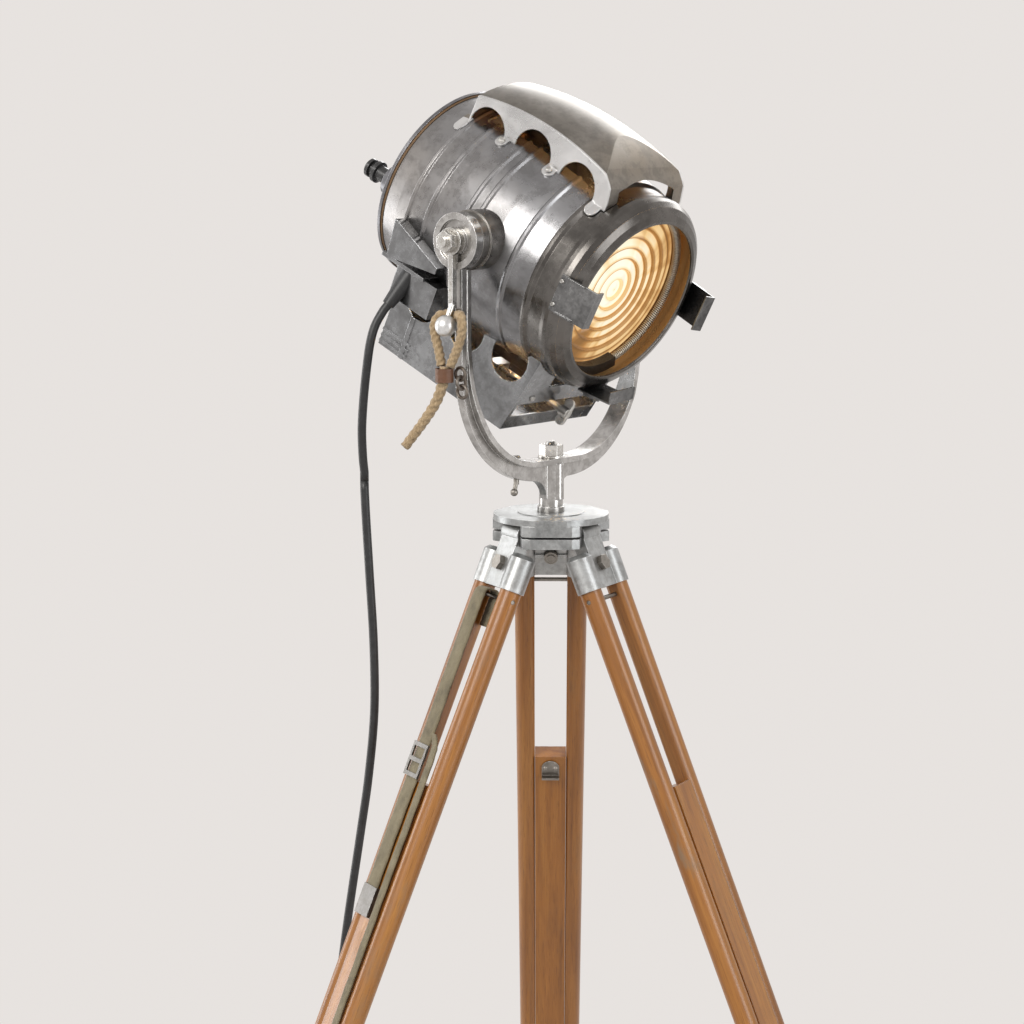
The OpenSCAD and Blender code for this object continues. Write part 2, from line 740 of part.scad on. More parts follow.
module tilt_lever() {
    color("#c9c6ba") yoke_frame() translate([0, 0, pivot_h]) difference() {
        union() {
            translate([-lever_x - lever_t / 2, 0, 0]) across(lever_t) circle(r = 12);
            translate([-lever_x - lever_t + 0.2, -2.5, -lever_end]) cube([lever_t - 0.2, 5, lever_end]);
            translate([-lever_x - 3.5, 0, -lever_end + 3]) rotate([0, 180 + stem_tilt, 0])
                cylinder(r = stem_r, h = norm([stem_dx, stem_dz]) - ball_seat - seat_fit);
        }
        across(4 * lever_x) circle(r = pivot_bolt_r + fit);
    }
}

// The ball is bored from above and sits on the end of the lever's stem
module lever_ball() {
    color("#d9d9d4") yoke_frame() translate([-ball_x, 0, pivot_h - ball_drop]) rotate([0, stem_tilt, 0])
        rotate_extrude() difference() {
            circle(r = ball_r);
            translate([-2 * ball_r, -2 * ball_r]) square([2 * ball_r, 4 * ball_r]);
            translate([-cut, ball_seat]) square([stem_r + seat_fit + cut, 2 * ball_r]);
        }
}

// The rope hangs over the ball's neck; its points are set out from the ball
knot_drop = 35;
loop_path = [[0, -5, -knot_drop], [1, -11, -22], [2, -16, -8], [2, -17, 2], [5, -13, 9], [10, -6, 9],
    [11.9, 0, 7.7], [10, 6, 9], [6, 12, 8], [2, 14.5, 1], [1, 13, -9], [0, 8, -22], [-1, 4, -knot_drop]];
tail_path = [[-1, 0, -knot_drop - 0.3], [-2, 1, -knot_drop - 12], [-4, 7, -knot_drop - 30],
    [-9, 17, -knot_drop - 48], [-16, 34, -knot_drop - 72]];

module ball_frame() {
    yoke_frame() translate([-ball_x, 0, pivot_h - ball_drop]) children();
}

module strop_rope() {
    color("#c9ab7c") ball_frame() {
        tube(smooth(loop_path, 3), rope_r, 10);
        tube(smooth(tail_path, 4), rope_r + 1, 10);
    }
}

module strop_band() {
    color("#6d4630") ball_frame() translate([-1.3, 0.5, -knot_drop - 14]) ring(rope_r + 3.5, rope_r + 2.3, 12);
}

module link(r, wire) {
    rotate_extrude() translate([r, 0]) circle(r = wire, $fn = 24);
}

module strop_links() {
    color("#4c4640") ball_frame() {
        for (k = [0 : 2])
            translate([8.3, -9.5, -knot_drop - 7]) rotate([-8, 0, 0]) translate([0, 0, -7.8 * k])
                rotate([90, 0, k == 1 ? 0 : 90]) link(5.5, 1.5);
    }
}

// ---------- Lamp housing ----------

bow_at = -18;
bow_len = 103;
bead_places = [-88, -64, -24.6, -11.3, 38.9];
function shell_r(s) = barrel_r - barrel_bow * pow((s - bow_at) / bow_len, 2);
function bead_points(s) = [[shell_r(s - bead_w), s - bead_w], [shell_r(s) + bead_h, s - 1.2],
    [shell_r(s) + bead_h, s + 1.2], [shell_r(s + bead_w), s + bead_w]];
shell_outline = concat([[shell_r(-rear_at), -rear_at], [shell_r(-104), -104]],
    bead_points(bead_places[0]), [[shell_r(-76), -76]], bead_points(bead_places[1]), [[shell_r(-44), -44]],
    bead_points(bead_places[2]), bead_points(bead_places[3]), [[shell_r(14), 14]],
    bead_points(bead_places[4]), [[shell_r(52), 52], [shell_r(seam_at), seam_at]]);
function moved(points, dr) = [for (p = points) [p[0] + dr, p[1]]];
function reversed(points) = [for (i = [len(points) - 1 : -1 : 0]) points[i]];

// The barrel's bead places hold while its outline is sampled from the same bow
inner_stations = [-rear_at, -90, -60, -18, 20, 45, seam_at];

module shell_solid(grow) {
    outline = concat(moved(shell_outline, grow), [[bezel_r + bead_h + grow, seam_at],
        [bezel_r + bead_h + grow, seam_at + 4.5], [bezel_r + grow, seam_at + 7.5], [bezel_r + grow, seam_at + 35]]);
    rotate_extrude() polygon(concat([[0, -rear_at]], outline, [[0, seam_at + 35]]));
}

module barrel() {
    inner = [for (s = inner_stations) [shell_r(s) - shell_t, s]];
    color("#77787a") barrel_frame() difference() {
        rotate_extrude() polygon(concat(shell_outline, reversed(inner)));
        translate([-cowl_hw + 10, 0, -vent_rear]) cube([2 * (cowl_hw - 10), 2 * barrel_r, vent_rear + vent_front]);
        translate([-tray_hw + 9, -2 * barrel_r, -tray_rear + 14])
            cube([2 * (tray_hw - 9), 2 * barrel_r, tray_rear - 14 + vent_front]);
        translate([0, axis_drop, 0]) across(3 * barrel_r) circle(r = pivot_bolt_r + seat_fit);
    }
}

vent_rear = 78;
vent_front = 50;

module front_bezel() {
    seat_at = lens_at - 2 - face_gap;
    outer = [[shell_r(seam_at), seam_at], [bezel_r + bead_h, seam_at + 1.5], [bezel_r + bead_h, seam_at + 4],
        [bezel_r - 1, seam_at + 7], [bezel_r - 0.5, front_at - 24], [bezel_r, front_at - 20],
        [bezel_r, front_at - 16], [bezel_r - 1.2, front_at - 11.5], [bezel_r - 4.5, front_at - 6.5],
        [bezel_r - 9.5, front_at - 2.5], [opening_r + 3, front_at]];
    inner = [[opening_r + 0.6, front_at - 0.4], [opening_r, front_at - 2], [opening_r + 2, front_at - 3],
        [bezel_r - 10, front_at - 5.5], [bezel_r - 6, front_at - 10], [bezel_r - 4.5, front_at - 17],
        [bezel_r - 4.5, seat_at + 2], [lens_r - 4, seat_at + 2], [lens_r - 4, seat_at],
        [bezel_r - 4.5, seat_at], [bezel_r - 4.5, seam_at + 3], [shell_r(seam_at) - shell_t, seam_at]];
    color("#55534f") barrel_frame() rotate_extrude() polygon(concat(outer, inner));
}

cap_at = -rear_at - gasket_t - cap_rim_t;
cap_r = shell_r(-rear_at) - 2;
dome_r = (cap_r * cap_r + cap_dome * cap_dome) / (2 * cap_dome);
dome_z = cap_at - cap_dome + dome_r;

module cap_gasket() {
    color("#7a5230") barrel_frame() translate([0, 0, -rear_at - gasket_t])
        ring(shell_r(-rear_at) + 0.5, cap_r - 4, gasket_t);
}

module dome_shell(r) {
    intersection() {
        translate([0, 0, dome_z]) sphere(r = r, $fn = 96);
        translate([0, 0, cap_at - 2 * cap_dome]) cylinder(r = cap_r, h = 2 * cap_dome + 0.01);
    }
}

knob_x = -64;
knob_y = -3;
knob_lean = 5;
knob_at = dome_z - sqrt(dome_r * dome_r - knob_x * knob_x - knob_y * knob_y);

module knob_frame() {
    translate([knob_x, knob_y, knob_at]) rotate([0, knob_lean, 0]) rotate([180, 0, 0]) children();
}

module rear_cap() {
    color("#6c6d70") barrel_frame() difference() {
        union() {
            difference() {
                dome_shell(dome_r);
                dome_shell(dome_r - shell_t);
            }
            translate([0, 0, cap_at]) ring(shell_r(-rear_at) + 1.5, cap_r - 3, cap_rim_t);
            knob_frame() translate([0, 0, -10.5]) cylinder(r1 = 16.5, r2 = 14.5, h = 13);
        }
        knob_frame() translate([0, 0, -20]) cylinder(r = 3 + fit, h = 40);
    }
}

module rear_knob() {
    color("#4d4c4a") barrel_frame() knob_frame() rotate_extrude() polygon([[0, -12], [3, -12], [3, 3],
        [7.3, 3], [7.3, 16], [10.3, 17], [10.3, 20.5], [6, 21.5], [6, 25], [8.8, 26], [8.8, 29], [7, 30.5], [0, 30.5]]);
}

// Drums and bolts on the tilt axis

module drums() {
    drum_in = barrel_r - 30;
    color("#68645e") barrel_frame() difference() {
        for (side = [-1, 1])
            translate([0, axis_drop, 0]) {
                translate([side * (drum_in + eye_at - face_gap) / 2, 0, 0])
                    across(eye_at - face_gap - drum_in) circle(r = drum_r);
                translate([side * (drum_in + 115) / 2, 0, 0]) across(115 - drum_in) circle(r = drum_r + 1.5);
            }
        shell_solid(seat_fit);
        translate([0, axis_drop, 0]) across(3 * barrel_r) circle(r = pivot_bolt_r + seat_fit);
    }
}

module pivot_bolts() {
    inner = 92;
    nut_x = eye_at + eye_t + 0.3 + lever_t + 0.1;
    plain_x = eye_at + eye_t + 0.1;
    color("#c2bfb4") barrel_frame() translate([0, axis_drop, 0]) {
        for (side = [-1, 1]) {
            face = side < 0 ? nut_x : plain_x;
            tip = face + pivot_nut_t + 4;
            translate([side * (inner + tip) / 2, 0, 0]) across(tip - inner) circle(r = pivot_bolt_r);
            translate([side * (inner - 3), 0, 0]) across(6) circle(d = 17 * hex, $fn = 6);
            translate([side * (face + pivot_nut_t / 2), 0, 0]) across(pivot_nut_t) difference() {
                circle(d = pivot_nut_af * hex, $fn = 6);
                circle(r = pivot_bolt_r + seat_fit);
            }
        }
    }
}

// ---------- Cowl ----------

scallop_mid = -12;
scallops = [for (i = [-1 : 1]) scallop_mid + i * scallop_pitch];
cowl_bow_at = -10;
cowl_long_r = 333;
cowl_cross_r = 120;
cowl_corner_r = 6;

// The crowned top, bowed along and across
module crown(drop) {
    translate([0, cowl_crown - cowl_long_r, cowl_bow_at]) rotate([0, 90, 0]) rotate_extrude($fn = 128)
        intersection() {
            translate([cowl_long_r - cowl_cross_r, 0]) circle(r = cowl_cross_r - drop, $fn = 128);
            translate([cowl_long_r - cowl_cross_r, -cowl_hw - 5]) square([cowl_cross_r, 2 * cowl_hw + 10]);
        }
}

nose_r = 90;
nose_at = 10;
nose_drop = 89.5;

// Rounds the crown down towards the front
module nose(drop) {
    translate([0, cowl_crown - nose_drop, nose_at]) across(4 * cowl_hw) circle(r = nose_r - drop, $fn = 96);
    translate([-2 * cowl_hw, 0, -2 * cowl_rear]) cube([4 * cowl_hw, 2 * cowl_crown, 2 * cowl_rear + nose_at]);
}

module cowl_body(inset) {
    side = [[55, -cowl_rear - 3], [140, -cowl_rear + 3], [140, cowl_front - 16], [111, cowl_front - 16],
        [98.8, cowl_front - 3], [84, cowl_front], [55, cowl_front - 2]];
    intersection() {
        crown(inset);
        nose(inset);
        translate([-cowl_hw + inset, 0, 0]) rotate([90, 0, 90]) linear_extrude(2 * (cowl_hw - inset))
            offset(delta = -inset) polygon(side);
    }
}

function bow_drop(s) = cowl_long_r - sqrt(pow(cowl_long_r, 2) - pow(s - cowl_bow_at, 2));

// A row of round vents, lowered by the given share of the cowl's bow
module scallop_cut(level, shift, share) {
    for (s = scallops)
        translate([0, level - share * bow_drop(s), s + shift]) across(4 * cowl_hw) circle(r = scallop_r);
}

module top_cowl() {
    color("#8b8b8c") barrel_frame() {
        difference() {
            cowl_body(0);
            cowl_body(sheet_t);
            shell_solid(seat_fit);
            scallop_cut(cowl_vent_y, 0, 1);
            intersection() {
                cylinder(r = bezel_r + 8.5, h = cowl_front + 10);
                translate([-40, 0, cowl_front - 14]) cube([80, 2 * barrel_r, 30]);
            }
        }
        cowl_tabs();
    }
}

cowl_vent_y = 87.5;
tab_places = [-cowl_rear - 3, scallops[0] + scallop_pitch / 2 - 5, scallops[1] + scallop_pitch / 2 - 2,
    cowl_front - 10];
tab_angles = [36, 32.5, 32.5, 36];

module cowl_tabs() {
    intersection() {
        difference() {
            shell_solid(sheet_t);
            shell_solid(seat_fit);
            cowl_body(sheet_t);
        }
        for (side = [-1, 1])
            for (k = [0 : 3])
                rotate([0, 0, -side * tab_angles[k]]) translate([0, 0, tab_places[k]]) rotate([-90, 0, 0])
                    linear_extrude(barrel_r + 10) union() {
                        translate([side * 4, 0]) circle(r = 6);
                        translate([side > 0 ? -12 : -4, -6]) square([16, 12]);
                    }
    }
}

module head_fasteners() {
    color("#9a9893") barrel_frame() {
        for (side = [-1, 1])
            for (k = [1, 2])
                rotate([0, 0, -side * (tab_angles[k] + 2)])
                    translate([0, shell_r(tab_places[k] - 3) + sheet_t + 0.3, tab_places[k]])
                        rotate([-90, 0, 0]) cylinder(r1 = 3.4, r2 = 2.2, h = 2);
        for (side = [-1, 1])
            translate([side * 43, -tray_drop + 34, tray_front_at(-tray_drop + 34)])
                rotate([atan(tray_lean), 0, 0]) translate([0, 0, face_gap]) cylinder(r1 = 3.2, r2 = 2.4, h = 1.6);
        for (a = clip_angles)
            rotate([0, 0, a]) for (x = [-11, 11])
                translate([x, bezel_r + sheet_t + 2 * face_gap, front_at - 13.5]) rotate([-90, 0, 0])
                    cylinder(r1 = 2.4, r2 = 1.6, h = 1.5);
    }
}

// ---------- Lamp tray ----------

tray_lean = 0.22;
function tray_front_at(y) = tray_front + (y + tray_drop) * tray_lean;

module tray_block(inset) {
    translate([-tray_hw + inset, 0, 0]) rotate([90, 0, 90]) linear_extrude(2 * (tray_hw - inset))
        polygon([[-tray_drop + inset, -tray_rear + inset], [-40, -tray_rear + inset],
            [-40, tray_front_at(-40) - inset], [-tray_drop + inset, tray_front_at(-tray_drop) - inset]]);
}

tray_vent_y = -84;
slot_low = -134;
slot_high = -120;

module lamp_tray() {
    color("#84868a") barrel_frame() difference() {
        union() {
            tray_block(0);
            tray_swages();
        }
        tray_block(sheet_t);
        shell_solid(seat_fit);
        scallop_cut(tray_vent_y, 4, 0);
        translate([-tray_hw + 4, slot_low, tray_front - 10]) cube([2 * (tray_hw - 4), slot_high - slot_low, 40]);
        translate([-28, -bezel_r - 8, tray_front - 5]) cube([56, 40, 60]);
    }
}

// Pressed ribs at the rear of the sides, and the lapped seam in front of them
module tray_swages() {
    for (side = [-1, 1])
        translate([side * (tray_hw + 0.2), 0, 0]) {
            for (k = [0 : 2])
                translate([-0.8, -tray_drop + 3 + 6 * k, -tray_rear]) cube([1.6, 2.5, 36]);
            translate([-0.8, -tray_drop, -tray_rear + 27]) cube([1.6, 44, 5]);
        }
}

// ---------- Lens ----------

function lens_front(r) = lens_t + 5 * (1 - pow(r / lens_r, 2));
lens_step = (lens_r - 5) / lens_steps;

module lens() {
    steps = [for (i = [lens_steps - 1 : -1 : 0]) for (edge = [1, 0])
        let (r = lens_step * (i + edge))
        [max(r, 0.001), lens_t + (edge == 1 ? 0 : 3.2)]];
    color("#f4d9a6") barrel_frame() translate([0, 0, lens_at])
        rotate_extrude() polygon(concat([[0, 0], [lens_r, 0], [lens_r, lens_t]], steps, [[0, lens_t + 3.2]]));
}

spring_z = lens_at + lens_t + spring_r + spring_wire_r + 0.35;
tape_span = 62;
tape_mid = -96;
spring_span = 360 - 24;

// A garter spring: one unbroken wire wound round the lens's edge, its ends under the tape
function spring_point(i, count) =
    let (a = tape_mid + 12 + spring_span * i / count, w = 360 * spring_curls * i / count,
        r = spring_ring_r + spring_r * cos(w))
    [r * cos(a), r * sin(a), spring_z + spring_r * sin(w)];

module lens_spring() {
    count = spring_curls * 8;
    color("#b9a582") barrel_frame() tube([for (i = [0 : count]) spring_point(i, count)], spring_wire_r, 6);
}

spring_pitch_in = 2 * PI * (spring_ring_r - spring_r) * spring_span / 360 / spring_curls;
echo(lens_spring_least_gap = spring_pitch_in - 2 * spring_wire_r);

module lens_tape() {
    tape_in = spring_r + spring_wire_r + 0.3;
    color("#1c1a19") barrel_frame() translate([0, 0, spring_z]) rotate([0, 0, tape_mid - tape_span / 2])
        rotate_extrude(angle = tape_span) translate([spring_ring_r, 0]) difference() {
            translate([-tape_in - 0.8, -tape_in]) square([2 * tape_in + 1.6, 2 * tape_in + 0.8]);
            translate([-tape_in, -tape_in - cut]) square([2 * tape_in, 2 * tape_in + cut]);
        }
}

// ---------- Clips for a colour frame ----------

clip_turn = -5;
clip_angles = [90 + clip_turn, -90 + clip_turn, 180 - clip_turn];
clip_w = 34;
clip_len = 38;
clip_lean = 9;

module colour_clip() {
    translate([0, bezel_r + 0.05, front_at - 16]) {
        difference() {
            union() {
                translate([-clip_w / 2, 0, 0]) cube([clip_w, sheet_t, 7]);
                translate([0, 0, 6]) rotate([clip_lean, 0, 0]) {
                    translate([-clip_w / 2, 0, 0]) cube([clip_w, sheet_t, clip_len - 6]);
                    translate([-clip_w / 2, -10, clip_len - 6 - sheet_t]) cube([clip_w, 11, sheet_t]);
                    for (side = [-1, 1])
                        translate([side * (clip_w / 2 - 0.8) - 0.8, 0, 1]) cube([1.6, sheet_t + 1.8, 18]);
                }
            }
            for (x = [-11, 11])
                translate([x, -cut, 2.5]) rotate([-90, 0, 0]) cylinder(r = 1.6, h = 5);
        }
    }
}

module colour_clips() {
    color("#4b4b4c") barrel_frame() for (a = clip_angles) rotate([0, 0, a]) colour_clip();
}

// ---------- Cable entry on the left flank ----------

bracket_x = -barrel_r - 9;
bracket_rise = 18;
bracket_run = 62;

module cable_bracket() {
    color("#7d7d80") barrel_frame() difference() {
        union() {
            translate([bracket_x, 0, 0]) rotate([90, 0, 90]) linear_extrude(sheet_t)
                polygon([[-12, -88], [-12 - bracket_rise, -88 + bracket_run], [-36, -26], [-47.5, -84]]);
            translate([bracket_x, -12 - sheet_t, -88]) rotate([atan2(bracket_rise, bracket_run), 0, 0])
                cube([16, sheet_t, norm([bracket_rise, bracket_run])]);
            translate([bracket_x, -49, -90]) cube([34, sheet_t + 2, 54]);
        }
        shell_solid(seat_fit);
    }
}

box_x = -barrel_r - 4;
box_top = -49.05;
box_low = -80;
box_rear = -72;
box_front = -22;

module cable_box() {
    color("#6f6f72") barrel_frame() difference() {
        translate([box_x, box_low, box_rear]) cube([-box_x - tray_hw - 1.05, box_top - box_low, box_front - box_rear]);
        translate([box_x + sheet_t, box_low + sheet_t, box_rear + sheet_t])
            cube([-box_x - tray_hw, box_top - box_low - 2 * sheet_t, box_front - box_rear - 2 * sheet_t]);
        shell_solid(seat_fit);
    }
}

// Strain relief on the box's outer wall, pointing outwards and down
relief_y = -66;
relief_s = -60;
relief_dip = 60;
relief_len = 21;
relief_dir = [-cos(relief_dip), -sin(relief_dip), 0];
cord_hold = 6;

module relief_frame() {
    translate([box_x, relief_y, relief_s]) rotate([0, 0, 180 + relief_dip]) rotate([0, 90, 0]) children();
}

module cord_bush() {
    color("#2a2826") barrel_frame() difference() {
        relief_frame() translate([0, 0, -14]) cylinder(r1 = 9, r2 = cord_r + 1.6, h = relief_len + 14);
        relief_frame() translate([0, 0, relief_len - cord_hold - 0.4])
            cylinder(r = cord_r + 0.3, h = cord_hold + cut);
        translate([box_x - seat_fit, -2 * barrel_r, -2 * barrel_r]) cube([barrel_r, 4 * barrel_r, 4 * barrel_r]);
    }
}

// ---------- Lamp on its sliding carriage ----------

carriage_y = -tray_drop + sheet_t + 0.3;

module lamp_carriage() {
    color("#8c8a84") barrel_frame() difference() {
        union() {
            translate([-36, carriage_y, -lamp_back - 36]) cube([72, 3, 66]);
            translate([-9, carriage_y, -lamp_back + 18]) cube([18, 24, 12]);
            translate([-16, carriage_y, -lamp_back - 16]) cube([32, 50, 2.5]);
            translate([-16, carriage_y + 47.5, -lamp_back - 16]) cube([32, 2.5, 32]);
            translate([-6, carriage_y, mirror_back - 2.5]) cube([12, -carriage_y - 30, 2.5]);
        }
        translate([0, screw_y, -lamp_back]) cylinder(r = focus_r + fit, h = 60);
    }
}

focus_r = 3;
screw_y = -127;

module lampholder() {
    color("#d8d4c8") barrel_frame() translate([0, carriage_y + 50 + seat_fit, -lamp_back]) rotate([-90, 0, 0])
        ring(15, 8 + seat_fit, 40);
}

module bulb() {
    base = carriage_y + 50 + seat_fit;
    color("#ffe2a8") barrel_frame() translate([0, base + 4, -lamp_back]) rotate([-90, 0, 0]) {
        cylinder(r = 8, h = 40);
        translate([0, 0, 38]) cylinder(r1 = 8, r2 = bulb_r * 0.65, h = -base - 42 - bulb_r * 0.7);
        translate([0, 0, -base - 4]) sphere(r = bulb_r);
    }
}

bowl_r = 60;
mirror_rim = -lamp_back - 22;
bowl_z = mirror_rim + sqrt(bowl_r * bowl_r - mirror_r * mirror_r);
mirror_back = bowl_z - sqrt(bowl_r * bowl_r - 30 * 30) - face_gap;

module mirror() {
    color("#cfcfcb") barrel_frame() intersection() {
        translate([0, 0, bowl_z]) difference() {
            sphere(r = bowl_r);
            sphere(r = bowl_r - sheet_t);
        }
        translate([0, 0, mirror_rim - bowl_r]) cylinder(r = mirror_r, h = bowl_r);
    }
}

module focus_screw() {
    tip = tray_front_at(screw_y) + 8;
    color("#9c9a93") barrel_frame() translate([0, screw_y, 0]) {
        translate([0, 0, -lamp_back + 12]) cylinder(r = focus_r, h = tip + lamp_back - 12 + 7);
        translate([0, 0, tip]) rotate([0, 0, 70]) wing(26, 10, 3, focus_r - cut);
    }
}

// ---------- Cord ----------

// Points from the bush down to the floor, set out from the top of the tripod's axis
function to_floor(p) = [p[0], p[1] + axis_y, p[2] + top_z];
function turn_x(p, a) = [p[0], p[1] * cos(a) - p[2] * sin(a), p[1] * sin(a) + p[2] * cos(a)];
function turn_z(p, a) = [p[0] * cos(a) - p[1] * sin(a), p[0] * sin(a) + p[1] * cos(a), p[2]];
function from_barrel(p) = to_floor(turn_z(turn_x([p[0], -p[2], p[1] - axis_drop], head_tilt)
    + [0, 0, pivot_h], head_pan));

function from_relief(along) = from_barrel([box_x, relief_y, relief_s] + along * relief_dir);

exit_point = from_relief(relief_len - cord_hold);
upper_points = [[-158.5, -34, 174.5], [-162.7, -35.5, 160], [-165.8, -35, 140], [-169.5, -29, 110],
    [-172, -21, 80], [-172, -13, 54]];
joint_point = [-171, -8, 30];
joint_lead = [0, 0, 2 * cord_r];
lower_points = [[-169.8, -8, -6], [-167, -7, -60], [-164, -5, -123], [-164, -3, -187],
    [-170, 0, -250], [-178, 4, -304], [-192, 10, -395], [-202, 16, -470], [-212, 22, -560], [-222, 28, -660],
    [-230, 34, -760], [-236, 40, -860], [-240, 44, -960]];
floor_points = [[-239, 46, 160], [-234, 50, 90], [-224, 60, 38], [-213, 82, 10]];
upper_path = concat([exit_point], smooth(concat([from_relief(relief_len), from_relief(relief_len + 2 * cord_r)],
    [for (p = upper_points) to_floor(p)], [to_floor(joint_point + joint_lead)]), 3), [to_floor(joint_point)]);

coil_x = -262;
coil_y = 145;
coil_pitch = 2 * cord_r + 0.9;
coil_layer = 2 * cord_r + 0.7;
coil_outer = coil_r + coil_pitch * coil_turns / 2;
coil_inner = coil_r - coil_pitch * coil_turns / 2;
coil_start = 0;
lead = 2 * cord_r;
cord_z = cord_r + 0.2;

// Lower layer winds in, half a turn climbs, upper layer winds out
function coil_point(t) =
    let (low = coil_turns, climb = low + 0.5,
        r = t < low ? coil_outer - coil_pitch * t
            : t < climb ? coil_inner : coil_inner + coil_pitch * (t - climb),
        rise = t < low ? 0 : t < climb ? 0.5 - 0.5 * cos(180 * (t - low) / 0.5) : 1,
        a = coil_start + 360 * t)
    [coil_x + r * cos(a), coil_y + axis_y + r * sin(a), cord_z + coil_layer * rise];
coil_total = 2 * coil_turns + 0.5;
coil_rings = round(24 * coil_total);
coil_entry = coil_point(0);
coil_exit = coil_point(coil_total);
exit_angle = coil_start + 360 * coil_total;
exit_dir = [-sin(exit_angle), cos(exit_angle), 0];
run_out = [for (p = [[18, coil_layer], [36, 0.8 * coil_layer], [54, 0.4 * coil_layer], [72, 0.08 * coil_layer],
    [90, 0], [90 + lead, 0]]) [coil_exit[0], coil_exit[1], cord_z] + p[0] * exit_dir + [0, 0, p[1]]];
coil_path = concat([coil_entry - [0, lead, 0]], [for (i = [0 : coil_rings]) coil_point(i / 24)], run_out);
coil_gap = min([for (i = [0 : coil_rings]) for (j = [i + 12 : coil_rings])
    norm(coil_point(i / 24) - coil_point(j / 24))]) - 2 * cord_r;
echo(cord_coil_least_gap = coil_gap);

lower_path = concat([to_floor(joint_point)], smooth(concat([to_floor(joint_point - joint_lead)],
    [for (p = lower_points) to_floor(p)], [for (p = floor_points) [p[0], p[1] + axis_y, p[2]]],
    [coil_entry - [0, 4 * lead, 0] + [0, 0, 1], coil_entry - [0, 2 * lead, 0]]), 3),
    [coil_entry - [0, lead, 0]]);

function path_length(path) = len(path) < 2 ? 0 : norm(path[1] - path[0])
    + path_length([for (i = [1 : len(path) - 1]) path[i]]);
echo(cord_upper_length = path_length(upper_path));
echo(cord_lower_length = path_length(lower_path));
echo(cord_coil_length = path_length(coil_path));

module cord_upper() {
    color("#1e1d1d") tube(upper_path, cord_r, 8);
}

module cord_lower() {
    color("#1e1d1d") tube(lower_path, cord_r, 8);
}

module cord_coil() {
    color("#1e1d1d") tube(coil_path, cord_r, 6);
}

plug_at = coil_path[len(coil_path) - 1];
plug_w = 46;
plug_l = 38;
plug_t = 20;

module mains_plug() {
    color("#1c1c1c") translate([plug_at[0], plug_at[1], 0]) rotate([0, 0, exit_angle]) {
        translate([0, 0, plug_at[2]]) rotate([-90, 0, 0]) cylinder(r1 = cord_r + 1, r2 = cord_r + 4, h = 26);
        translate([-plug_w / 2, 24, 0]) cube([plug_w, plug_l, plug_t]);
        for (p = [[-11, 34, 6.4, 4], [11, 34, 6.4, 4], [0, 52, 4, 8]])
            translate([p[0] - p[2] / 2, p[1] - p[3] / 2, plug_t - cut]) cube([p[2], p[3], 18]);
    }
}

// ---------- Every piece ----------

head_casting();
clamp_plate();
clamp_bolt();
pan_stud();
leg_bracket(leg_right);  // leg_bracket_right
leg_bracket(leg_left);  // leg_bracket_left
leg_bracket(leg_rear);  // leg_bracket_rear
leg_poles(leg_right);  // leg_poles_right
leg_poles(leg_left);  // leg_poles_left
leg_poles(leg_rear);  // leg_poles_rear
leg_fittings(leg_right);  // leg_fittings_right
leg_fittings(leg_left);  // leg_fittings_left
leg_fittings(leg_rear);  // leg_fittings_rear
leg_screw(leg_right);  // leg_screw_right
leg_screw(leg_left);  // leg_screw_left
leg_screw(leg_rear);  // leg_screw_rear
board(leg_right);  // board_right
board(leg_left);  // board_left
board(leg_rear);  // board_rear
board_stop(leg_right);  // board_stop_right
board_stop(leg_left);  // board_stop_left
board_stop(leg_rear);  // board_stop_rear
shoe(leg_right);  // shoe_right
shoe(leg_left);  // shoe_left
shoe(leg_rear);  // shoe_rear
carry_strap();
strap_buckle();
yoke();
pan_lock();
tilt_lever();
lever_ball();
strop_rope();
strop_band();
strop_links();
barrel();
front_bezel();
cap_gasket();
rear_cap();
rear_knob();
top_cowl();
lamp_tray();
drums();
pivot_bolts();
head_fasteners();
lens();
lens_spring();
lens_tape();
colour_clips();
cable_bracket();
cable_box();
cord_bush();
mirror();
lamp_carriage();
lampholder();
bulb();
focus_screw();
cord_upper();
cord_lower();
cord_coil();
mains_plug();
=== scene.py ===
"""Looks for a tripod spotlight floor lamp: a focusing head in a yoke on a wooden tripod."""
import json
import math

import bpy
from mathutils import Matrix, Vector

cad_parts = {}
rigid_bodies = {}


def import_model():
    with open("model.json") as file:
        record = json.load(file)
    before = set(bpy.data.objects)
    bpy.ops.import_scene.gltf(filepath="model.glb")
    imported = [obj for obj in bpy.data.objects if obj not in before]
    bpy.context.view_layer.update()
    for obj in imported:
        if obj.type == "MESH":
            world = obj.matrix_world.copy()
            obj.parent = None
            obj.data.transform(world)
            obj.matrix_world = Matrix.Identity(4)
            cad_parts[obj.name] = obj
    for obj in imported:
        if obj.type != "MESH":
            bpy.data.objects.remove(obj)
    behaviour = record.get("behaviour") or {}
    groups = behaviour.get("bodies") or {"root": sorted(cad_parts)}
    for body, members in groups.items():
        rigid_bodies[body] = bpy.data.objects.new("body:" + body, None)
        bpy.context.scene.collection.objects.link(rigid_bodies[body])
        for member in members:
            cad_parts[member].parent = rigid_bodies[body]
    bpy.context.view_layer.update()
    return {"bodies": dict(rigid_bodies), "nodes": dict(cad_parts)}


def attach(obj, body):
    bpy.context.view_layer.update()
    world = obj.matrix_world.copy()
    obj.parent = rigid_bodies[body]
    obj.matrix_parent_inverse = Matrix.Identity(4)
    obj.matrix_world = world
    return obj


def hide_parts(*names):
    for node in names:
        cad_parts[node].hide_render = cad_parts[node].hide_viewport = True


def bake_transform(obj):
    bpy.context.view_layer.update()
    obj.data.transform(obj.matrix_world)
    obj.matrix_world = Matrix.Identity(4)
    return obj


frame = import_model()
NODES = frame["nodes"]
BODIES = frame["bodies"]

# ---------- The part's own frames, with their lengths in millimetres ----------

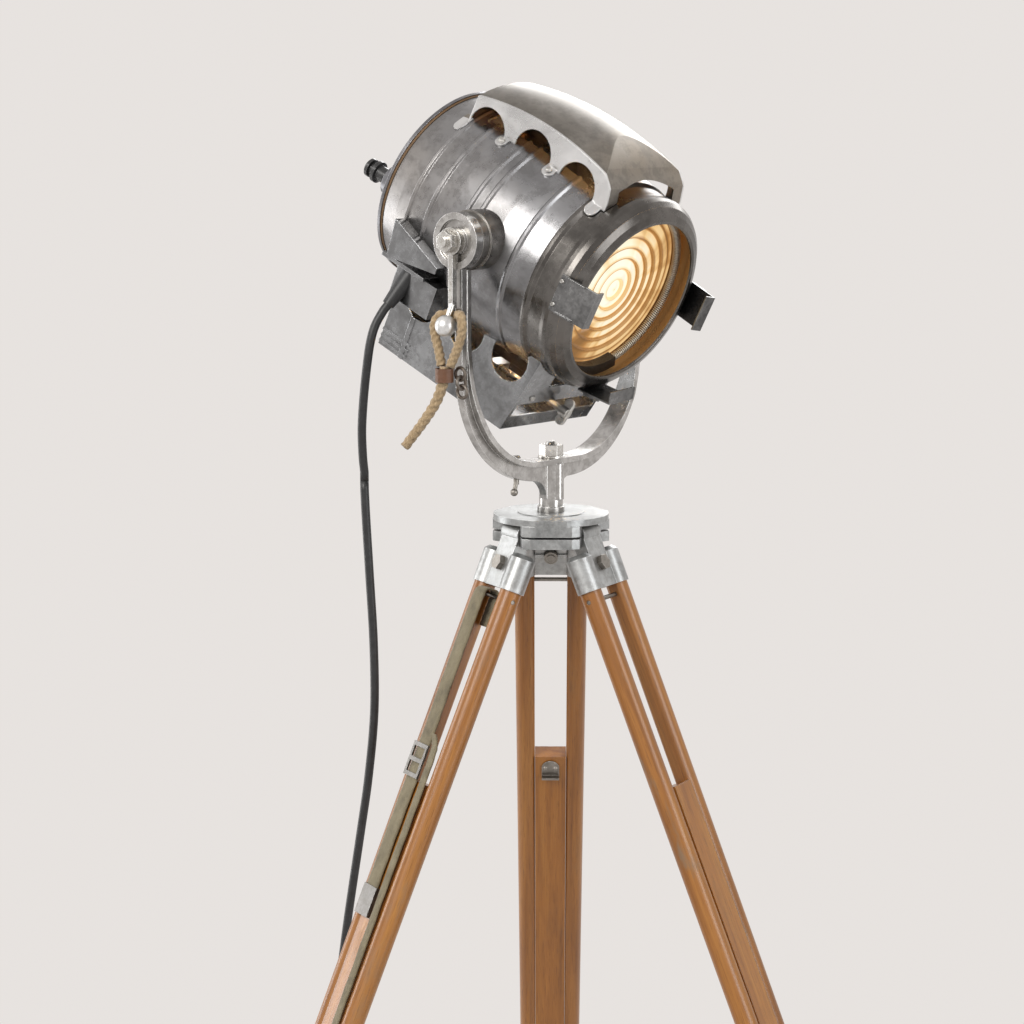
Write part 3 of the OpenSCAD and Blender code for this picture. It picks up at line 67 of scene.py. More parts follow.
MM = 0.001
HEAD_PAN, HEAD_TILT, LEG_LEAN = (math.radians(a) for a in (51, 25, 23))
TOE_R, SOLE_R, LEG_LEN, HINGE_R, HINGE_DROP = 15, 6, 1285, 35, 16.5
PIVOT_H, AXIS_DROP = 254.5, 11.6
TOP_Z = math.sqrt(TOE_R ** 2 - SOLE_R ** 2) + LEG_LEN * math.cos(LEG_LEAN) + HINGE_DROP
AXIS_Y = -(HINGE_R + LEG_LEN * math.sin(LEG_LEAN)) / 4
LEG_AZIMUTHS = {"right": 60, "left": -60, "rear": 180}


def turn(axis, angle):
    return Matrix.Rotation(angle, 4, axis)


def shift(x, y, z):
    return Matrix.Translation((x, y, z))


TOP = shift(0, AXIS_Y, TOP_Z)
YOKE = TOP @ turn("Z", HEAD_PAN)
BARREL = (YOKE @ shift(0, 0, PIVOT_H) @ turn("X", HEAD_TILT)
          @ shift(0, 0, -AXIS_DROP) @ turn("X", math.pi / 2))


def leg_matrix(side):
    return (TOP @ turn("Z", math.radians(LEG_AZIMUTHS[side]))
            @ shift(0, -HINGE_R, -HINGE_DROP) @ turn("X", -LEG_LEAN))


def at(matrix, *point):
    """A point given in millimetres in one of those frames, as metres in the row frame."""
    return (matrix @ Vector(point)) * MM


# ---------- Camera ----------

SENSOR, LENS_LENGTH = 36, 94.92
CAMERA_BACK, CAMERA_RISE = 2454.5, 388.8
CAMERA_DIP, CAMERA_TURN = 9, 0.838

camera_data = bpy.data.cameras.new("camera")
camera = bpy.data.objects.new("camera", camera_data)
bpy.context.scene.collection.objects.link(camera)
camera_data.sensor_width = SENSOR
camera_data.lens = LENS_LENGTH
camera_data.clip_end = 60
camera.location = (0, (AXIS_Y - CAMERA_BACK) * MM, (TOP_Z + CAMERA_RISE) * MM)
camera.rotation_euler = (math.radians(90 - CAMERA_DIP), 0, math.radians(CAMERA_TURN))
bpy.context.scene.camera = camera
bpy.context.scene.view_settings.view_transform = "Standard"

# ---------- Mesh helpers ----------


def mesh_piece(name, points, faces, smooth=True):
    """A mesh from points and faces; its many-sided end caps stay flat."""
    mesh = bpy.data.meshes.new(name)
    mesh.from_pydata([tuple(p) for p in points], [], faces)
    mesh.validate()
    mesh.update()
    for polygon in mesh.polygons:
        polygon.use_smooth = smooth and len(polygon.vertices) < 5
    obj = bpy.data.objects.new(name, mesh)
    bpy.context.scene.collection.objects.link(obj)
    return obj


def smooth_path(points, steps):
    """The same curve through given points as the part's own cords follow."""
    pts = [Vector(p) for p in points]
    out = []
    for i in range(len(pts) - 1):
        p1, p2 = pts[i], pts[i + 1]
        p0 = pts[i - 1] if i else 2 * p1 - p2
        p3 = pts[i + 2] if i + 2 < len(pts) else 2 * p2 - p1
        for k in range(steps):
            t = k / steps
            out.append(0.5 * (2 * p1 + (p2 - p0) * t + (2 * p0 - 5 * p1 + 4 * p2 - p3) * t * t
                              + (3 * p1 - p0 - 3 * p2 + p3) * t ** 3))
    return out + [pts[-1]]


def tangents(path):
    last = len(path) - 1
    return [(path[min(i + 1, last)] - path[max(i - 1, 0)]).normalized() for i in range(last + 1)]


def skin(rings, sides):
    """The faces of a closed tube whose points come ring after ring."""
    faces = [(i * sides + k, i * sides + (k + 1) % sides,
              (i + 1) * sides + (k + 1) % sides, (i + 1) * sides + k)
             for i in range(rings - 1) for k in range(sides)]
    faces.append(tuple(range(sides))[::-1])
    faces.append(tuple(range((rings - 1) * sides, rings * sides)))
    return faces


def tube_piece(name, path, radius, sides, profile=None):
    """A closed tube along a path. radius may be a number or a function of the share along it;
    profile(angle, length along the path) scales it round each ring."""
    path = [Vector(p) for p in path]
    tans = tangents(path)
    side = Vector((0.31, 0.17, 0.93))
    points, along = [], 0.0
    for i, p in enumerate(path):
        side = (side - side.dot(tans[i]) * tans[i]).normalized()
        other = tans[i].cross(side)
        along += (p - path[i - 1]).length if i else 0
        r = radius(i / (len(path) - 1)) if callable(radius) else radius
        for k in range(sides):
            a = 2 * math.pi * k / sides
            q = r * (profile(a, along) if profile else 1)
            points.append(p + q * (math.cos(a) * side + math.sin(a) * other))
    return mesh_piece(name, points, skin(len(path), sides))


# ---------- Cords ----------

CORD_R, CORD_SIDES, CORD_STEPS = 4 * MM, 16, 6

# The strain relief: its place on the box, its length, its dip, and the cord's hold inside it
RELIEF, RELIEF_LEN, CORD_HOLD = (-106, -66, -60), 21, 6
RELIEF_DIP = math.radians(60)
RELIEF_DIR = (-math.cos(RELIEF_DIP), -math.sin(RELIEF_DIP), 0)

# The route, from the tripod's plate down; FLOOR gives its heights from the floor
LEAD = 8
UPPER = [(-158.5, -34, 174.5), (-162.7, -35.5, 160), (-165.8, -35, 140), (-169.5, -29, 110),
         (-172, -21, 80), (-172, -13, 54)]
JOINT = (-171, -8, 30)
LOWER = [(-169.8, -8, -6), (-167, -7, -60), (-164, -5, -123), (-164, -3, -187), (-170, 0, -250),
         (-178, 4, -304), (-192, 10, -395), (-202, 16, -470), (-212, 22, -560),
         (-222, 28, -660), (-230, 34, -760), (-236, 40, -860), (-240, 44, -960)]
FLOOR = [(-239, 46, 160), (-234, 50, 90), (-224, 60, 38), (-213, 82, 10)]

# The coil: two layers of flat turns, out to in on the floor and in to out on top
COIL_X, COIL_Y, COIL_R, COIL_TURNS = -262, 145, 44, 2.5
COIL_PITCH, COIL_LAYER, CORD_Z = 8.9, 8.7, 4.2
COIL_OUTER = COIL_R + COIL_PITCH * COIL_TURNS / 2
COIL_INNER = COIL_R - COIL_PITCH * COIL_TURNS / 2
COIL_TOTAL = 2 * COIL_TURNS + 0.5
COIL_STEPS = 40


def from_relief(along):
    return at(BARREL, *(c + along * d for c, d in zip(RELIEF, RELIEF_DIR)))


def top_point(p):
    return at(TOP, *p)


def coil_point(t):
    """A point of the coil after t turns, in millimetres."""
    climb = COIL_TURNS + 0.5
    if t < COIL_TURNS:
        r, rise = COIL_OUTER - COIL_PITCH * t, 0
    elif t < climb:
        r, rise = COIL_INNER, 0.5 - 0.5 * math.cos(2 * math.pi * (t - COIL_TURNS))
    else:
        r, rise = COIL_INNER + COIL_PITCH * (t - climb), 1
    a = 2 * math.pi * t
    return Vector((COIL_X + r * math.cos(a), COIL_Y + AXIS_Y + r * math.sin(a),
                   CORD_Z + COIL_LAYER * rise))


exit_point = from_relief(RELIEF_LEN - CORD_HOLD)
lead_end = from_relief(RELIEF_LEN + LEAD)
above_joint = (JOINT[0], JOINT[1], JOINT[2] + LEAD)
below_joint = (JOINT[0], JOINT[1], JOINT[2] - LEAD)
upper_path = [exit_point]
upper_path += smooth_path([from_relief(RELIEF_LEN), lead_end]
                          + [top_point(p) for p in UPPER + [above_joint]], CORD_STEPS)
upper_path.append(top_point(JOINT))

coil_entry = coil_point(0)
lower_mm = [Vector((x, y + AXIS_Y, z + TOP_Z)) for x, y, z in [below_joint] + LOWER]
lower_mm += [Vector((x, y + AXIS_Y, z)) for x, y, z in FLOOR]
lower_mm += [coil_entry - Vector((0, 4 * LEAD, -1)), coil_entry - Vector((0, 2 * LEAD, 0))]
lower_path = [top_point(JOINT)] + [p * MM for p in smooth_path(lower_mm, CORD_STEPS)]
lower_path.append((coil_entry - Vector((0, LEAD, 0))) * MM)

coil_exit = coil_point(COIL_TOTAL)
exit_angle = 2 * math.pi * COIL_TOTAL
exit_dir = Vector((-math.sin(exit_angle), math.cos(exit_angle), 0))
run_out = [Vector((coil_exit.x, coil_exit.y, CORD_Z + layers * COIL_LAYER)) + d * exit_dir
           for d, layers in ((18, 1), (36, 0.8), (54, 0.4), (72, 0.08), (90, 0), (90 + LEAD, 0))]
coil_path = [coil_point(i / COIL_STEPS) * MM for i in range(int(COIL_STEPS * COIL_TOTAL) + 1)]
coil_path += [p * MM for p in smooth_path(run_out, 3)]
whole_lower = lower_path + coil_path

flex_upper = tube_piece("flex_upper", upper_path, CORD_R, CORD_SIDES)
flex_lower = tube_piece("flex_lower", whole_lower, CORD_R, CORD_SIDES)
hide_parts("cord_upper")
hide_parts("cord_lower", "cord_coil")
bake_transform(flex_upper)
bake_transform(flex_lower)

# ---------- Node materials ----------


def fill_ramp(ramp, stops):
    """Stops are (place, colour) or (place, grey), in their order."""
    while len(ramp.elements) < len(stops):
        ramp.elements.new(0.5)
    for element, (place, colour) in zip(ramp.elements, stops):
        element.position = place
        element.color = (*(colour if isinstance(colour, tuple) else (colour,) * 3), 1)


class Finish:
    """A node material whose textures lie in one of the part's frames, in metres."""

    SOCKETS = {"colour": "Base Color", "metal": "Metallic", "rough": "Roughness",
               "normal": "Normal", "coat": "Coat Weight", "coat_rough": "Coat Roughness",
               "glow": "Emission Color", "glow_strength": "Emission Strength",
               "sheen": "Sheen Weight", "ior": "IOR"}

    def __init__(self, name, matrix=None):
        self.mat = bpy.data.materials.new(name)
        self.mat.use_nodes = True
        self.tree = self.mat.node_tree
        self.shader = self.tree.nodes["Principled BSDF"]
        self.coords = self.node("ShaderNodeTexCoord").outputs["Object"]
        if matrix is not None:
            inverse = (Matrix.Scale(MM, 4) @ matrix @ Matrix.Scale(1 / MM, 4)).inverted()
            mapping = self.node("ShaderNodeMapping")
            mapping.inputs["Rotation"].default_value = inverse.to_euler()
            mapping.inputs["Location"].default_value = inverse.to_translation()
            self.link(self.coords, mapping.inputs["Vector"])
            self.coords = mapping.outputs["Vector"]

    def node(self, kind, **settings):
        n = self.tree.nodes.new(kind)
        for key, value in settings.items():
            setattr(n, key, value)
        return n

    def link(self, a, b):
        self.tree.links.new(a, b)

    def feed(self, socket, value):
        """Links a socket to another node's output, or sets it to a number or colour."""
        if hasattr(value, "is_linked"):
            self.link(value, socket)
        elif isinstance(value, tuple) and len(socket.default_value) == 4:
            socket.default_value = (*value, 1)
        else:
            socket.default_value = value

    def stretch(self, scale, coords=None):
        m = self.node("ShaderNodeMapping")
        m.inputs["Scale"].default_value = scale
        self.link(coords or self.coords, m.inputs["Vector"])
        return m.outputs["Vector"]

    def move(self, place):
        m = self.node("ShaderNodeMapping")
        m.inputs["Location"].default_value = place
        self.link(self.coords, m.inputs["Vector"])
        return m.outputs["Vector"]

    def noise(self, scale, detail=4, roughness=0.6, coords=None, distortion=0.0):
        n = self.node("ShaderNodeTexNoise")
        n.inputs["Scale"].default_value = scale
        n.inputs["Detail"].default_value = detail
        n.inputs["Roughness"].default_value = roughness
        n.inputs["Distortion"].default_value = distortion
        self.link(coords or self.coords, n.inputs["Vector"])
        return n.outputs["Fac"]

    def cells(self, scale):
        n = self.node("ShaderNodeTexVoronoi")
        n.inputs["Scale"].default_value = scale
        self.link(self.coords, n.inputs["Vector"])
        return n.outputs["Distance"]

    def ramp(self, fac, *stops):
        n = self.node("ShaderNodeValToRGB")
        fill_ramp(n.color_ramp, stops)
        self.link(fac, n.inputs["Fac"])
        return n.outputs["Color"]

    def mix(self, fac, a, b):
        n = self.node("ShaderNodeMix", data_type="RGBA")
        self.feed(n.inputs[0], fac)
        self.feed(n.inputs[6], a)
        self.feed(n.inputs[7], b)
        return n.outputs[2]

    def math(self, how, a, b=0.0, c=0.0):
        n = self.node("ShaderNodeMath", operation=how)
        for socket, value in zip(n.inputs, (a, b, c)):
            self.feed(socket, value)
        return n.outputs[0]

    def xyz(self):
        n = self.node("ShaderNodeSeparateXYZ")
        self.link(self.coords, n.inputs[0])
        return list(n.outputs)

    def vector(self, x, y, z):
        n = self.node("ShaderNodeCombineXYZ")
        for socket, value in zip(n.inputs, (x, y, z)):
            self.feed(socket, value)
        return n.outputs[0]

    def from_axis(self):
        """The distance from the frame's z axis."""
        x, y, _ = self.xyz()
        squares = self.math("ADD", self.math("MULTIPLY", x, x), self.math("MULTIPLY", y, y))
        return self.math("SQRT", squares)

    def turned(self, round_scale, along_scale):
        """Coordinates round and along the frame's z axis, for marks left by turning."""
        x, y, z = self.xyz()
        angle = self.math("ARCTAN2", y, x)
        return self.vector(self.math("MULTIPLY", self.math("SINE", angle), round_scale),
                           self.math("MULTIPLY", self.math("COSINE", angle), round_scale),
                           self.math("MULTIPLY", z, along_scale))

    def about_middle(self, fac, amount):
        """Noise as a small swing to both sides of zero."""
        return self.math("MULTIPLY", self.math("SUBTRACT", fac, 0.5), amount)

    def bump(self, height, strength, distance, after=None):
        n = self.node("ShaderNodeBump")
        n.inputs["Strength"].default_value = strength
        n.inputs["Distance"].default_value = distance
        self.link(height, n.inputs["Height"])
        if after is not None:
            self.link(after, n.inputs["Normal"])
        return n.outputs["Normal"]

    def edge(self, radius=0.0008):
        """A normal rounded over sharp edges, and a mask of those edges."""
        soft = self.node("ShaderNodeBevel", samples=4)
        soft.inputs["Radius"].default_value = radius
        geometry = self.node("ShaderNodeNewGeometry")
        dot = self.node("ShaderNodeVectorMath", operation="DOT_PRODUCT")
        self.link(soft.outputs[0], dot.inputs[0])
        self.link(geometry.outputs["Normal"], dot.inputs[1])
        mask = self.ramp(dot.outputs["Value"], (0.82, 1.0), (0.995, 0.0))
        return soft.outputs[0], mask

    # Ambient occlusion, used to paint shade into crevices and recesses.
    def crevice_shade(self, distance=0.012):
        n = self.node("ShaderNodeAmbientOcclusion", samples=6)
        n.inputs["Distance"].default_value = distance
        return n.outputs["AO"]

    def set(self, **values):
        for key, value in values.items():
            self.feed(self.shader.inputs[self.SOCKETS[key]], value)
        return self.mat


# The cowl's flat sides lie this far out; the bezel's warm lining lies within this ring
COWL_SIDE_X = 52.3 * MM
LINING_R, LINING_TOP = 90.2 * MM, 101.2 * MM
# The painted shade laid into the bezel lining's recess
LINING_SHADE = (0.03, 0.018, 0.008)


def worn_metal(name, dark, light, grime_and_shade, rough, matrix=None, turned=False, scale=1.0, edge=True,
               tint=None, crevice_shade=0.55, metal=1.0, lining=None, sides=None):
    """Old metal: smudges, fine brush marks, painted shade in its crevices and rubbed edges. sides
    gives the two tones of the cowl's flat sides, and lining the tone inside the bezel, with
    painted shade in its recess."""
    f = Finish(name, matrix)
    cloud = f.noise(14 * scale, 5, 0.62, distortion=0.4)
    fine = f.noise(90 * scale, 6, 0.7)
    marks = f.noise(1.0, 3, 0.6, coords=f.turned(4, 900) if turned else f.stretch((60, 60, 900)))
    colour = f.mix(f.ramp(cloud, (0.32, 0.0), (0.68, 1.0)), dark, light)
    if tint:
        stain = f.ramp(f.noise(7 * scale, 4, 0.6), (0.5, 0.0), (0.75, 0.75))
        colour = f.mix(stain, colour, tint)
    colour = f.mix(f.ramp(fine, (0.42, 0.28), (0.55, 0.0)), colour, grime_and_shade)
    # Painted shade: the grime colour laid into the crevices that ambient occlusion finds.
    colour = f.mix(f.ramp(f.crevice_shade(), (0.35, crevice_shade), (0.85, 0.0)), colour, grime_and_shade)
    roughness = f.math("ADD", f.about_middle(cloud, 0.30),
                       f.math("ADD", f.about_middle(fine, 0.22), rough))
    height = f.math("ADD", f.math("MULTIPLY", marks, 0.05), f.math("MULTIPLY", fine, 0.35))
    if edge:
        soft, mask = f.edge()
        rubbed = tuple(min(1, c * 1.7) for c in light)
        colour = f.mix(f.math("MULTIPLY", mask, 0.7), colour, rubbed)
        normal = f.bump(height, 0.12, 0.0006, soft)
    else:
        normal = f.bump(height, 0.10, 0.0006)
    if sides:
        flank = f.math("GREATER_THAN", f.math("ABSOLUTE", f.xyz()[0]), COWL_SIDE_X)
        colour = f.mix(flank, colour, f.mix(f.ramp(cloud, (0.3, 0.0), (0.7, 1.0)), *sides))
        roughness = f.math("SUBTRACT", roughness, f.math("MULTIPLY", flank, 0.07))
    if lining:
        inside = f.math("MULTIPLY", f.math("LESS_THAN", f.from_axis(), LINING_R),
                        f.math("LESS_THAN", f.xyz()[2], LINING_TOP))
        # Painted shade: the lining darkens where ambient occlusion finds its recess.
        shade = f.ramp(f.crevice_shade(0.006), (0.45, 0.85), (0.9, 0.0))
        colour = f.mix(inside, colour, f.mix(shade, lining, LINING_SHADE))
        metal = f.math("SUBTRACT", metal, inside)
    return f.set(colour=colour, metal=metal, rough=roughness, normal=normal)


def wood(name, matrix, light, mid, dark, wear, seed):
    """Varnished hardwood with its grain along the leg, worn grey-brown in patches."""
    f = Finish(name, matrix)
    base = f.move((seed, seed * 0.7, seed * 1.3))
    rings = f.noise(1.0, 4, 0.55, coords=f.stretch((70, 70, 3.5), base), distortion=0.8)
    fibre = f.noise(1.0, 6, 0.7, coords=f.stretch((700, 700, 14), base))
    pores = f.noise(1.0, 2, 0.5, coords=f.stretch((1500, 1500, 60), base))
    broad = f.noise(1.0, 3, 0.5, coords=f.stretch((12, 12, 5), base))
    spots = f.noise(1.0, 7, 0.72, coords=f.stretch((34, 34, 9), base))
    colour = f.ramp(rings, (0.25, dark), (0.5, mid), (0.78, light))
    colour = f.mix(f.ramp(fibre, (0.35, 0.35), (0.62, 0.0)), colour, dark)
    colour = f.mix(f.ramp(pores, (0.3, 0.5), (0.42, 0.0)), colour, tuple(c * 0.45 for c in dark))
    colour = f.mix(f.ramp(broad, (0.48, 0.0), (0.72, 0.55)), colour, mid)
    patch = f.ramp(spots, (0.56, 0.0), (0.66, 1.0))
    soft, mask = f.edge(0.0012)
    worn = f.math("MAXIMUM", f.math("MULTIPLY", patch, wear),
                  f.math("MULTIPLY", mask, 0.5 * wear + 0.12))
    colour = f.mix(worn, colour, (0.22, 0.145, 0.085))
    rough = f.math("ADD", f.math("MULTIPLY", patch, 0.28),
                   f.math("MULTIPLY_ADD", fibre, 0.12, 0.27))
    height = f.math("ADD", f.math("MULTIPLY", fibre, 0.6), f.math("MULTIPLY", pores, 0.5))
    return f.set(colour=colour, rough=rough, normal=f.bump(height, 0.22, 0.0004, soft),
                 coat=0.25, coat_rough=0.22)


# ---------- Finishes ----------

# Metals: the two tones of the smudges, the tone of the dirt and of the painted crevice shade,
# the roughness and the frame
barrel_metal = worn_metal(
    "burnished_steel", (0.20, 0.20, 0.205), (0.335, 0.335, 0.345), (0.09, 0.086, 0.082), 0.27,
    BARREL, turned=True, tint=(0.30, 0.275, 0.25), scale=0.6)
bezel_metal = worn_metal(
    "dark_steel", (0.10, 0.094, 0.088), (0.22, 0.208, 0.195), (0.045, 0.041, 0.037), 0.28,
    BARREL, turned=True, tint=(0.18, 0.14, 0.11), scale=0.7, lining=(0.66, 0.40, 0.17))
cap_metal = worn_metal(
    "cap_steel", (0.14, 0.14, 0.148), (0.28, 0.28, 0.295), (0.07, 0.07, 0.07), 0.32,
    BARREL, turned=True, scale=0.7)
cowl_metal = worn_metal(
    "cowl_steel", (0.17, 0.157, 0.14), (0.31, 0.292, 0.266), (0.085, 0.076, 0.068), 0.36,
    BARREL, tint=(0.26, 0.215, 0.16), crevice_shade=0.3, sides=((0.50, 0.50, 0.50), (0.78, 0.78, 0.78)))
tray_metal = worn_metal(
    "tray_steel", (0.21, 0.214, 0.218), (0.38, 0.388, 0.40), (0.08, 0.077, 0.073), 0.25, BARREL)
iron = worn_metal(
    "worn_iron", (0.41, 0.402, 0.39), (0.68, 0.67, 0.655), (0.14, 0.128, 0.112), 0.24,
    YOKE, scale=1.6)
casting = worn_metal(
    "cast_aluminium", (0.27, 0.28, 0.28), (0.50, 0.51, 0.51), (0.10, 0.095, 0.09), 0.38,
    TOP, scale=2.2, metal=0.85)
bracket_metal = worn_metal(
    "bracket_aluminium", (0.34, 0.35, 0.35), (0.54, 0.55, 0.55), (0.14, 0.13, 0.115), 0.42,
    TOP, scale=2.0, metal=0.9)
steel = worn_metal(
    "plain_steel", (0.36, 0.35, 0.33), (0.62, 0.605, 0.575), (0.13, 0.115, 0.095), 0.30,
    TOP, scale=2.5)
bright_steel = worn_metal(
    "bright_steel", (0.55, 0.54, 0.52), (0.78, 0.77, 0.74), (0.22, 0.19, 0.15), 0.26,
    YOKE, scale=2.5)
buckle_metal = worn_metal(
    "buckle_steel", (0.16, 0.155, 0.145), (0.30, 0.29, 0.28), (0.08, 0.07, 0.055), 0.48,
    TOP, scale=2.5)
dull_steel = worn_metal(
    "dull_steel", (0.20, 0.185, 0.165), (0.38, 0.36, 0.33), (0.09, 0.075, 0.06), 0.42,
    TOP, scale=2.0)
ball_metal = worn_metal(
    "ball_aluminium", (0.62, 0.62, 0.62), (0.88, 0.88, 0.87), (0.3, 0.29, 0.27), 0.38,
    YOKE, scale=3.5, metal=0.7)
drum_metal = worn_metal(
    "drum_iron", (0.19, 0.18, 0.17), (0.36, 0.345, 0.325), (0.08, 0.07, 0.06), 0.30,
    BARREL, scale=2.0)
clip_metal = worn_metal(
    "clip_steel", (0.10, 0.10, 0.10), (0.25, 0.25, 0.25), (0.03, 0.03, 0.03), 0.22,
    BARREL, scale=2.5, metal=0.9)
knob_metal = worn_metal(
    "knob_dark", (0.035, 0.035, 0.036), (0.10, 0.10, 0.10), (0.02, 0.02, 0.02), 0.24,
    BARREL, scale=3.0, metal=0.6)
link_metal = worn_metal(
    "link_iron", (0.10, 0.085, 0.07), (0.26, 0.235, 0.21), (0.09, 0.045, 0.02), 0.45,
    YOKE, scale=4.0, metal=0.8)
spring_metal = worn_metal(
    "spring_steel", (0.66, 0.62, 0.53), (0.88, 0.84, 0.74), (0.30, 0.24, 0.16), 0.38,
    BARREL, scale=4.0, metal=0.5)
mirror_metal = worn_metal(
    "mirror_silver", (0.80, 0.79, 0.77), (0.92, 0.91, 0.90), (0.6, 0.57, 0.5), 0.08,
    BARREL, edge=False)


def gasket_fibre():
    f = Finish("gasket", BARREL)
    colour = f.mix(f.noise(120, 5), (0.10, 0.055, 0.025), (0.20, 0.12, 0.06))
    return f.set(colour=colour, rough=0.75, normal=f.bump(f.noise(400, 4), 0.3, 0.0005))


LENS_R, LENS_RIM, LENS_STEPS = 77, 5, 7


def stepped_glass():
    """The lens, with the bulb's light through it painted on as glow: bright steps with painted
    shade on the risers, uneven and weaker outwards.
    """
    f = Finish("stepped_glass", BARREL)
    radius = f.from_axis()
    step = (LENS_R - LENS_RIM) / LENS_STEPS * MM
    white = (1.0, 1.0, 1.0)
    within = f.math("FRACT", f.math("DIVIDE", radius, step))
    share = f.math("DIVIDE", radius, LENS_R * MM)
    band = f.ramp(within, (0.0, 0.05), (0.09, 0.55), (0.30, 1.0), (0.78, 1.0), (0.93, 0.25))
    band = f.mix(f.ramp(share, (0.1, 0.55), (0.4, 1.0)), white, band)
    patches = f.ramp(f.noise(1.0, 3, 0.55, coords=f.turned(1.3, 0), distortion=0.3),
                     (0.36, 0.15), (0.54, 1.0))
    patches = f.mix(f.ramp(share, (0.25, 0.0), (0.6, 1.0)), white, patches)
    fade = f.ramp(share, (0.0, 1.0), (0.5, 0.95), (0.75, 0.62), (1.0, 0.45))
    glow = f.math("MULTIPLY", f.math("MULTIPLY", band, patches), fade)
    glow_colour = f.ramp(glow, (0.0, (0.12, 0.045, 0.01)), (0.25, (0.46, 0.20, 0.045)),
                         (0.5, (0.92, 0.62, 0.28)), (0.8, (1.0, 0.90, 0.66)),
                         (1.0, (1.0, 0.96, 0.82)))
    # Painted light: the glow stands in for the bulb's light shining through the lens.
    return f.set(colour=(0.22, 0.17, 0.10), rough=0.10, ior=1.5, coat=0.5, coat_rough=0.05,
                 glow=glow_colour, glow_strength=0.92)


def porcelain():
    f = Finish("porcelain", BARREL)
    colour = f.mix(f.noise(60, 4), (0.70, 0.66, 0.56), (0.82, 0.79, 0.71))
    return f.set(colour=colour, rough=0.25, normal=f.bump(f.noise(200, 3), 0.1, 0.0004))


def cord_rubber():
    f = Finish("cord_rubber")
    tone = f.noise(160, 5, 0.7)
    colour = f.ramp(tone, (0.3, (0.012, 0.0125, 0.013)), (0.7, (0.027, 0.0275, 0.029)))
    return f.set(colour=colour, rough=f.math("MULTIPLY_ADD", tone, 0.2, 0.34),
                 normal=f.bump(f.noise(900, 3), 0.12, 0.0003))


def black_tape():
    f = Finish("black_tape", BARREL)
    tone = f.noise(260, 6, 0.75)
    colour = f.ramp(tone, (0.35, (0.008, 0.007, 0.006)), (0.66, (0.03, 0.026, 0.022)),
                    (0.80, (0.22, 0.13, 0.04)))
    return f.set(colour=colour, rough=0.30, normal=f.bump(tone, 0.9, 0.0015))


def rope_fibre():
    f = Finish("rope_fibre", YOKE)
    tone = f.noise(1.0, 6, 0.75, coords=f.stretch((700, 700, 260)))
    colour = f.ramp(tone, (0.3, (0.20, 0.13, 0.065)), (0.52, (0.42, 0.30, 0.17)),
                    (0.74, (0.62, 0.48, 0.31)))
    return f.set(colour=colour, rough=0.85, sheen=0.25, normal=f.bump(tone, 0.8, 0.0012))


def brown_leather():
    f = Finish("leather", YOKE)
    colour = f.mix(f.noise(90, 5), (0.075, 0.03, 0.015), (0.19, 0.085, 0.04))
    return f.set(colour=colour, rough=0.5, normal=f.bump(f.cells(420), 0.35, 0.0006))


WARP_PITCH, WEFT_PITCH = 1.6 * MM, 2.1 * MM


def webbing():
    f = Finish("canvas_webbing", leg_matrix("left"))
    x, _, z = f.xyz()
    warp = f.math("SINE", f.math("MULTIPLY", x, 2 * math.pi / WARP_PITCH))
    weft = f.math("SINE", f.math("MULTIPLY", z, 2 * math.pi / WEFT_PITCH))
    weave = f.math("MULTIPLY", warp, weft)
    colour = f.ramp(f.noise(60, 6, 0.7), (0.28, (0.13, 0.105, 0.062)),
                    (0.5, (0.26, 0.215, 0.13)), (0.75, (0.37, 0.31, 0.195)))
    colour = f.mix(f.ramp(weave, (0.2, 0.28), (0.8, 0.0)), colour, (0.13, 0.115, 0.075))
    return f.set(colour=colour, rough=0.9, sheen=0.2, normal=f.bump(weave, 0.5, 0.0006))


glowing_bulb = Finish("bulb_glass", BARREL).set(colour=(1.0, 0.9, 0.7), rough=0.3,
                                                glow=(1.0, 0.72, 0.38), glow_strength=14.0)
rubber, canvas, rope = cord_rubber(), webbing(), rope_fibre()

FINISHES = {
    "head_casting": casting, "clamp_plate": casting, "clamp_bolt": steel,
    "pan_stud": bright_steel, "yoke": iron, "pan_lock": dull_steel, "tilt_lever": bright_steel,
    "lever_ball": ball_metal, "strop_rope": rope, "strop_band": brown_leather(),
    "strop_links": link_metal, "barrel": barrel_metal, "front_bezel": bezel_metal,
    "cap_gasket": gasket_fibre(), "rear_cap": cap_metal, "rear_knob": knob_metal,
    "top_cowl": cowl_metal, "lamp_tray": tray_metal, "drums": drum_metal,
    "pivot_bolts": bright_steel, "head_fasteners": steel, "lens": stepped_glass(),
    "lens_spring": spring_metal, "lens_tape": black_tape(), "colour_clips": clip_metal,
    "cable_bracket": tray_metal, "cable_box": tray_metal, "cord_bush": rubber,
    "mirror": mirror_metal, "lamp_carriage": steel, "lampholder": porcelain(),
    "bulb": glowing_bulb, "focus_screw": steel, "mains_plug": rubber, "carry_strap": canvas,
    "strap_buckle": buckle_metal, "cord_upper": rubber, "cord_lower": rubber,
    "cord_coil": rubber,
}

# The poles are redder than the boards: each wood's light, middle and dark tones
POLE_TONES = (0.50, 0.225, 0.05), (0.37, 0.145, 0.026), (0.19, 0.066, 0.012)
BOARD_TONES = (0.52, 0.23, 0.04), (0.40, 0.152, 0.022), (0.20, 0.068, 0.011)
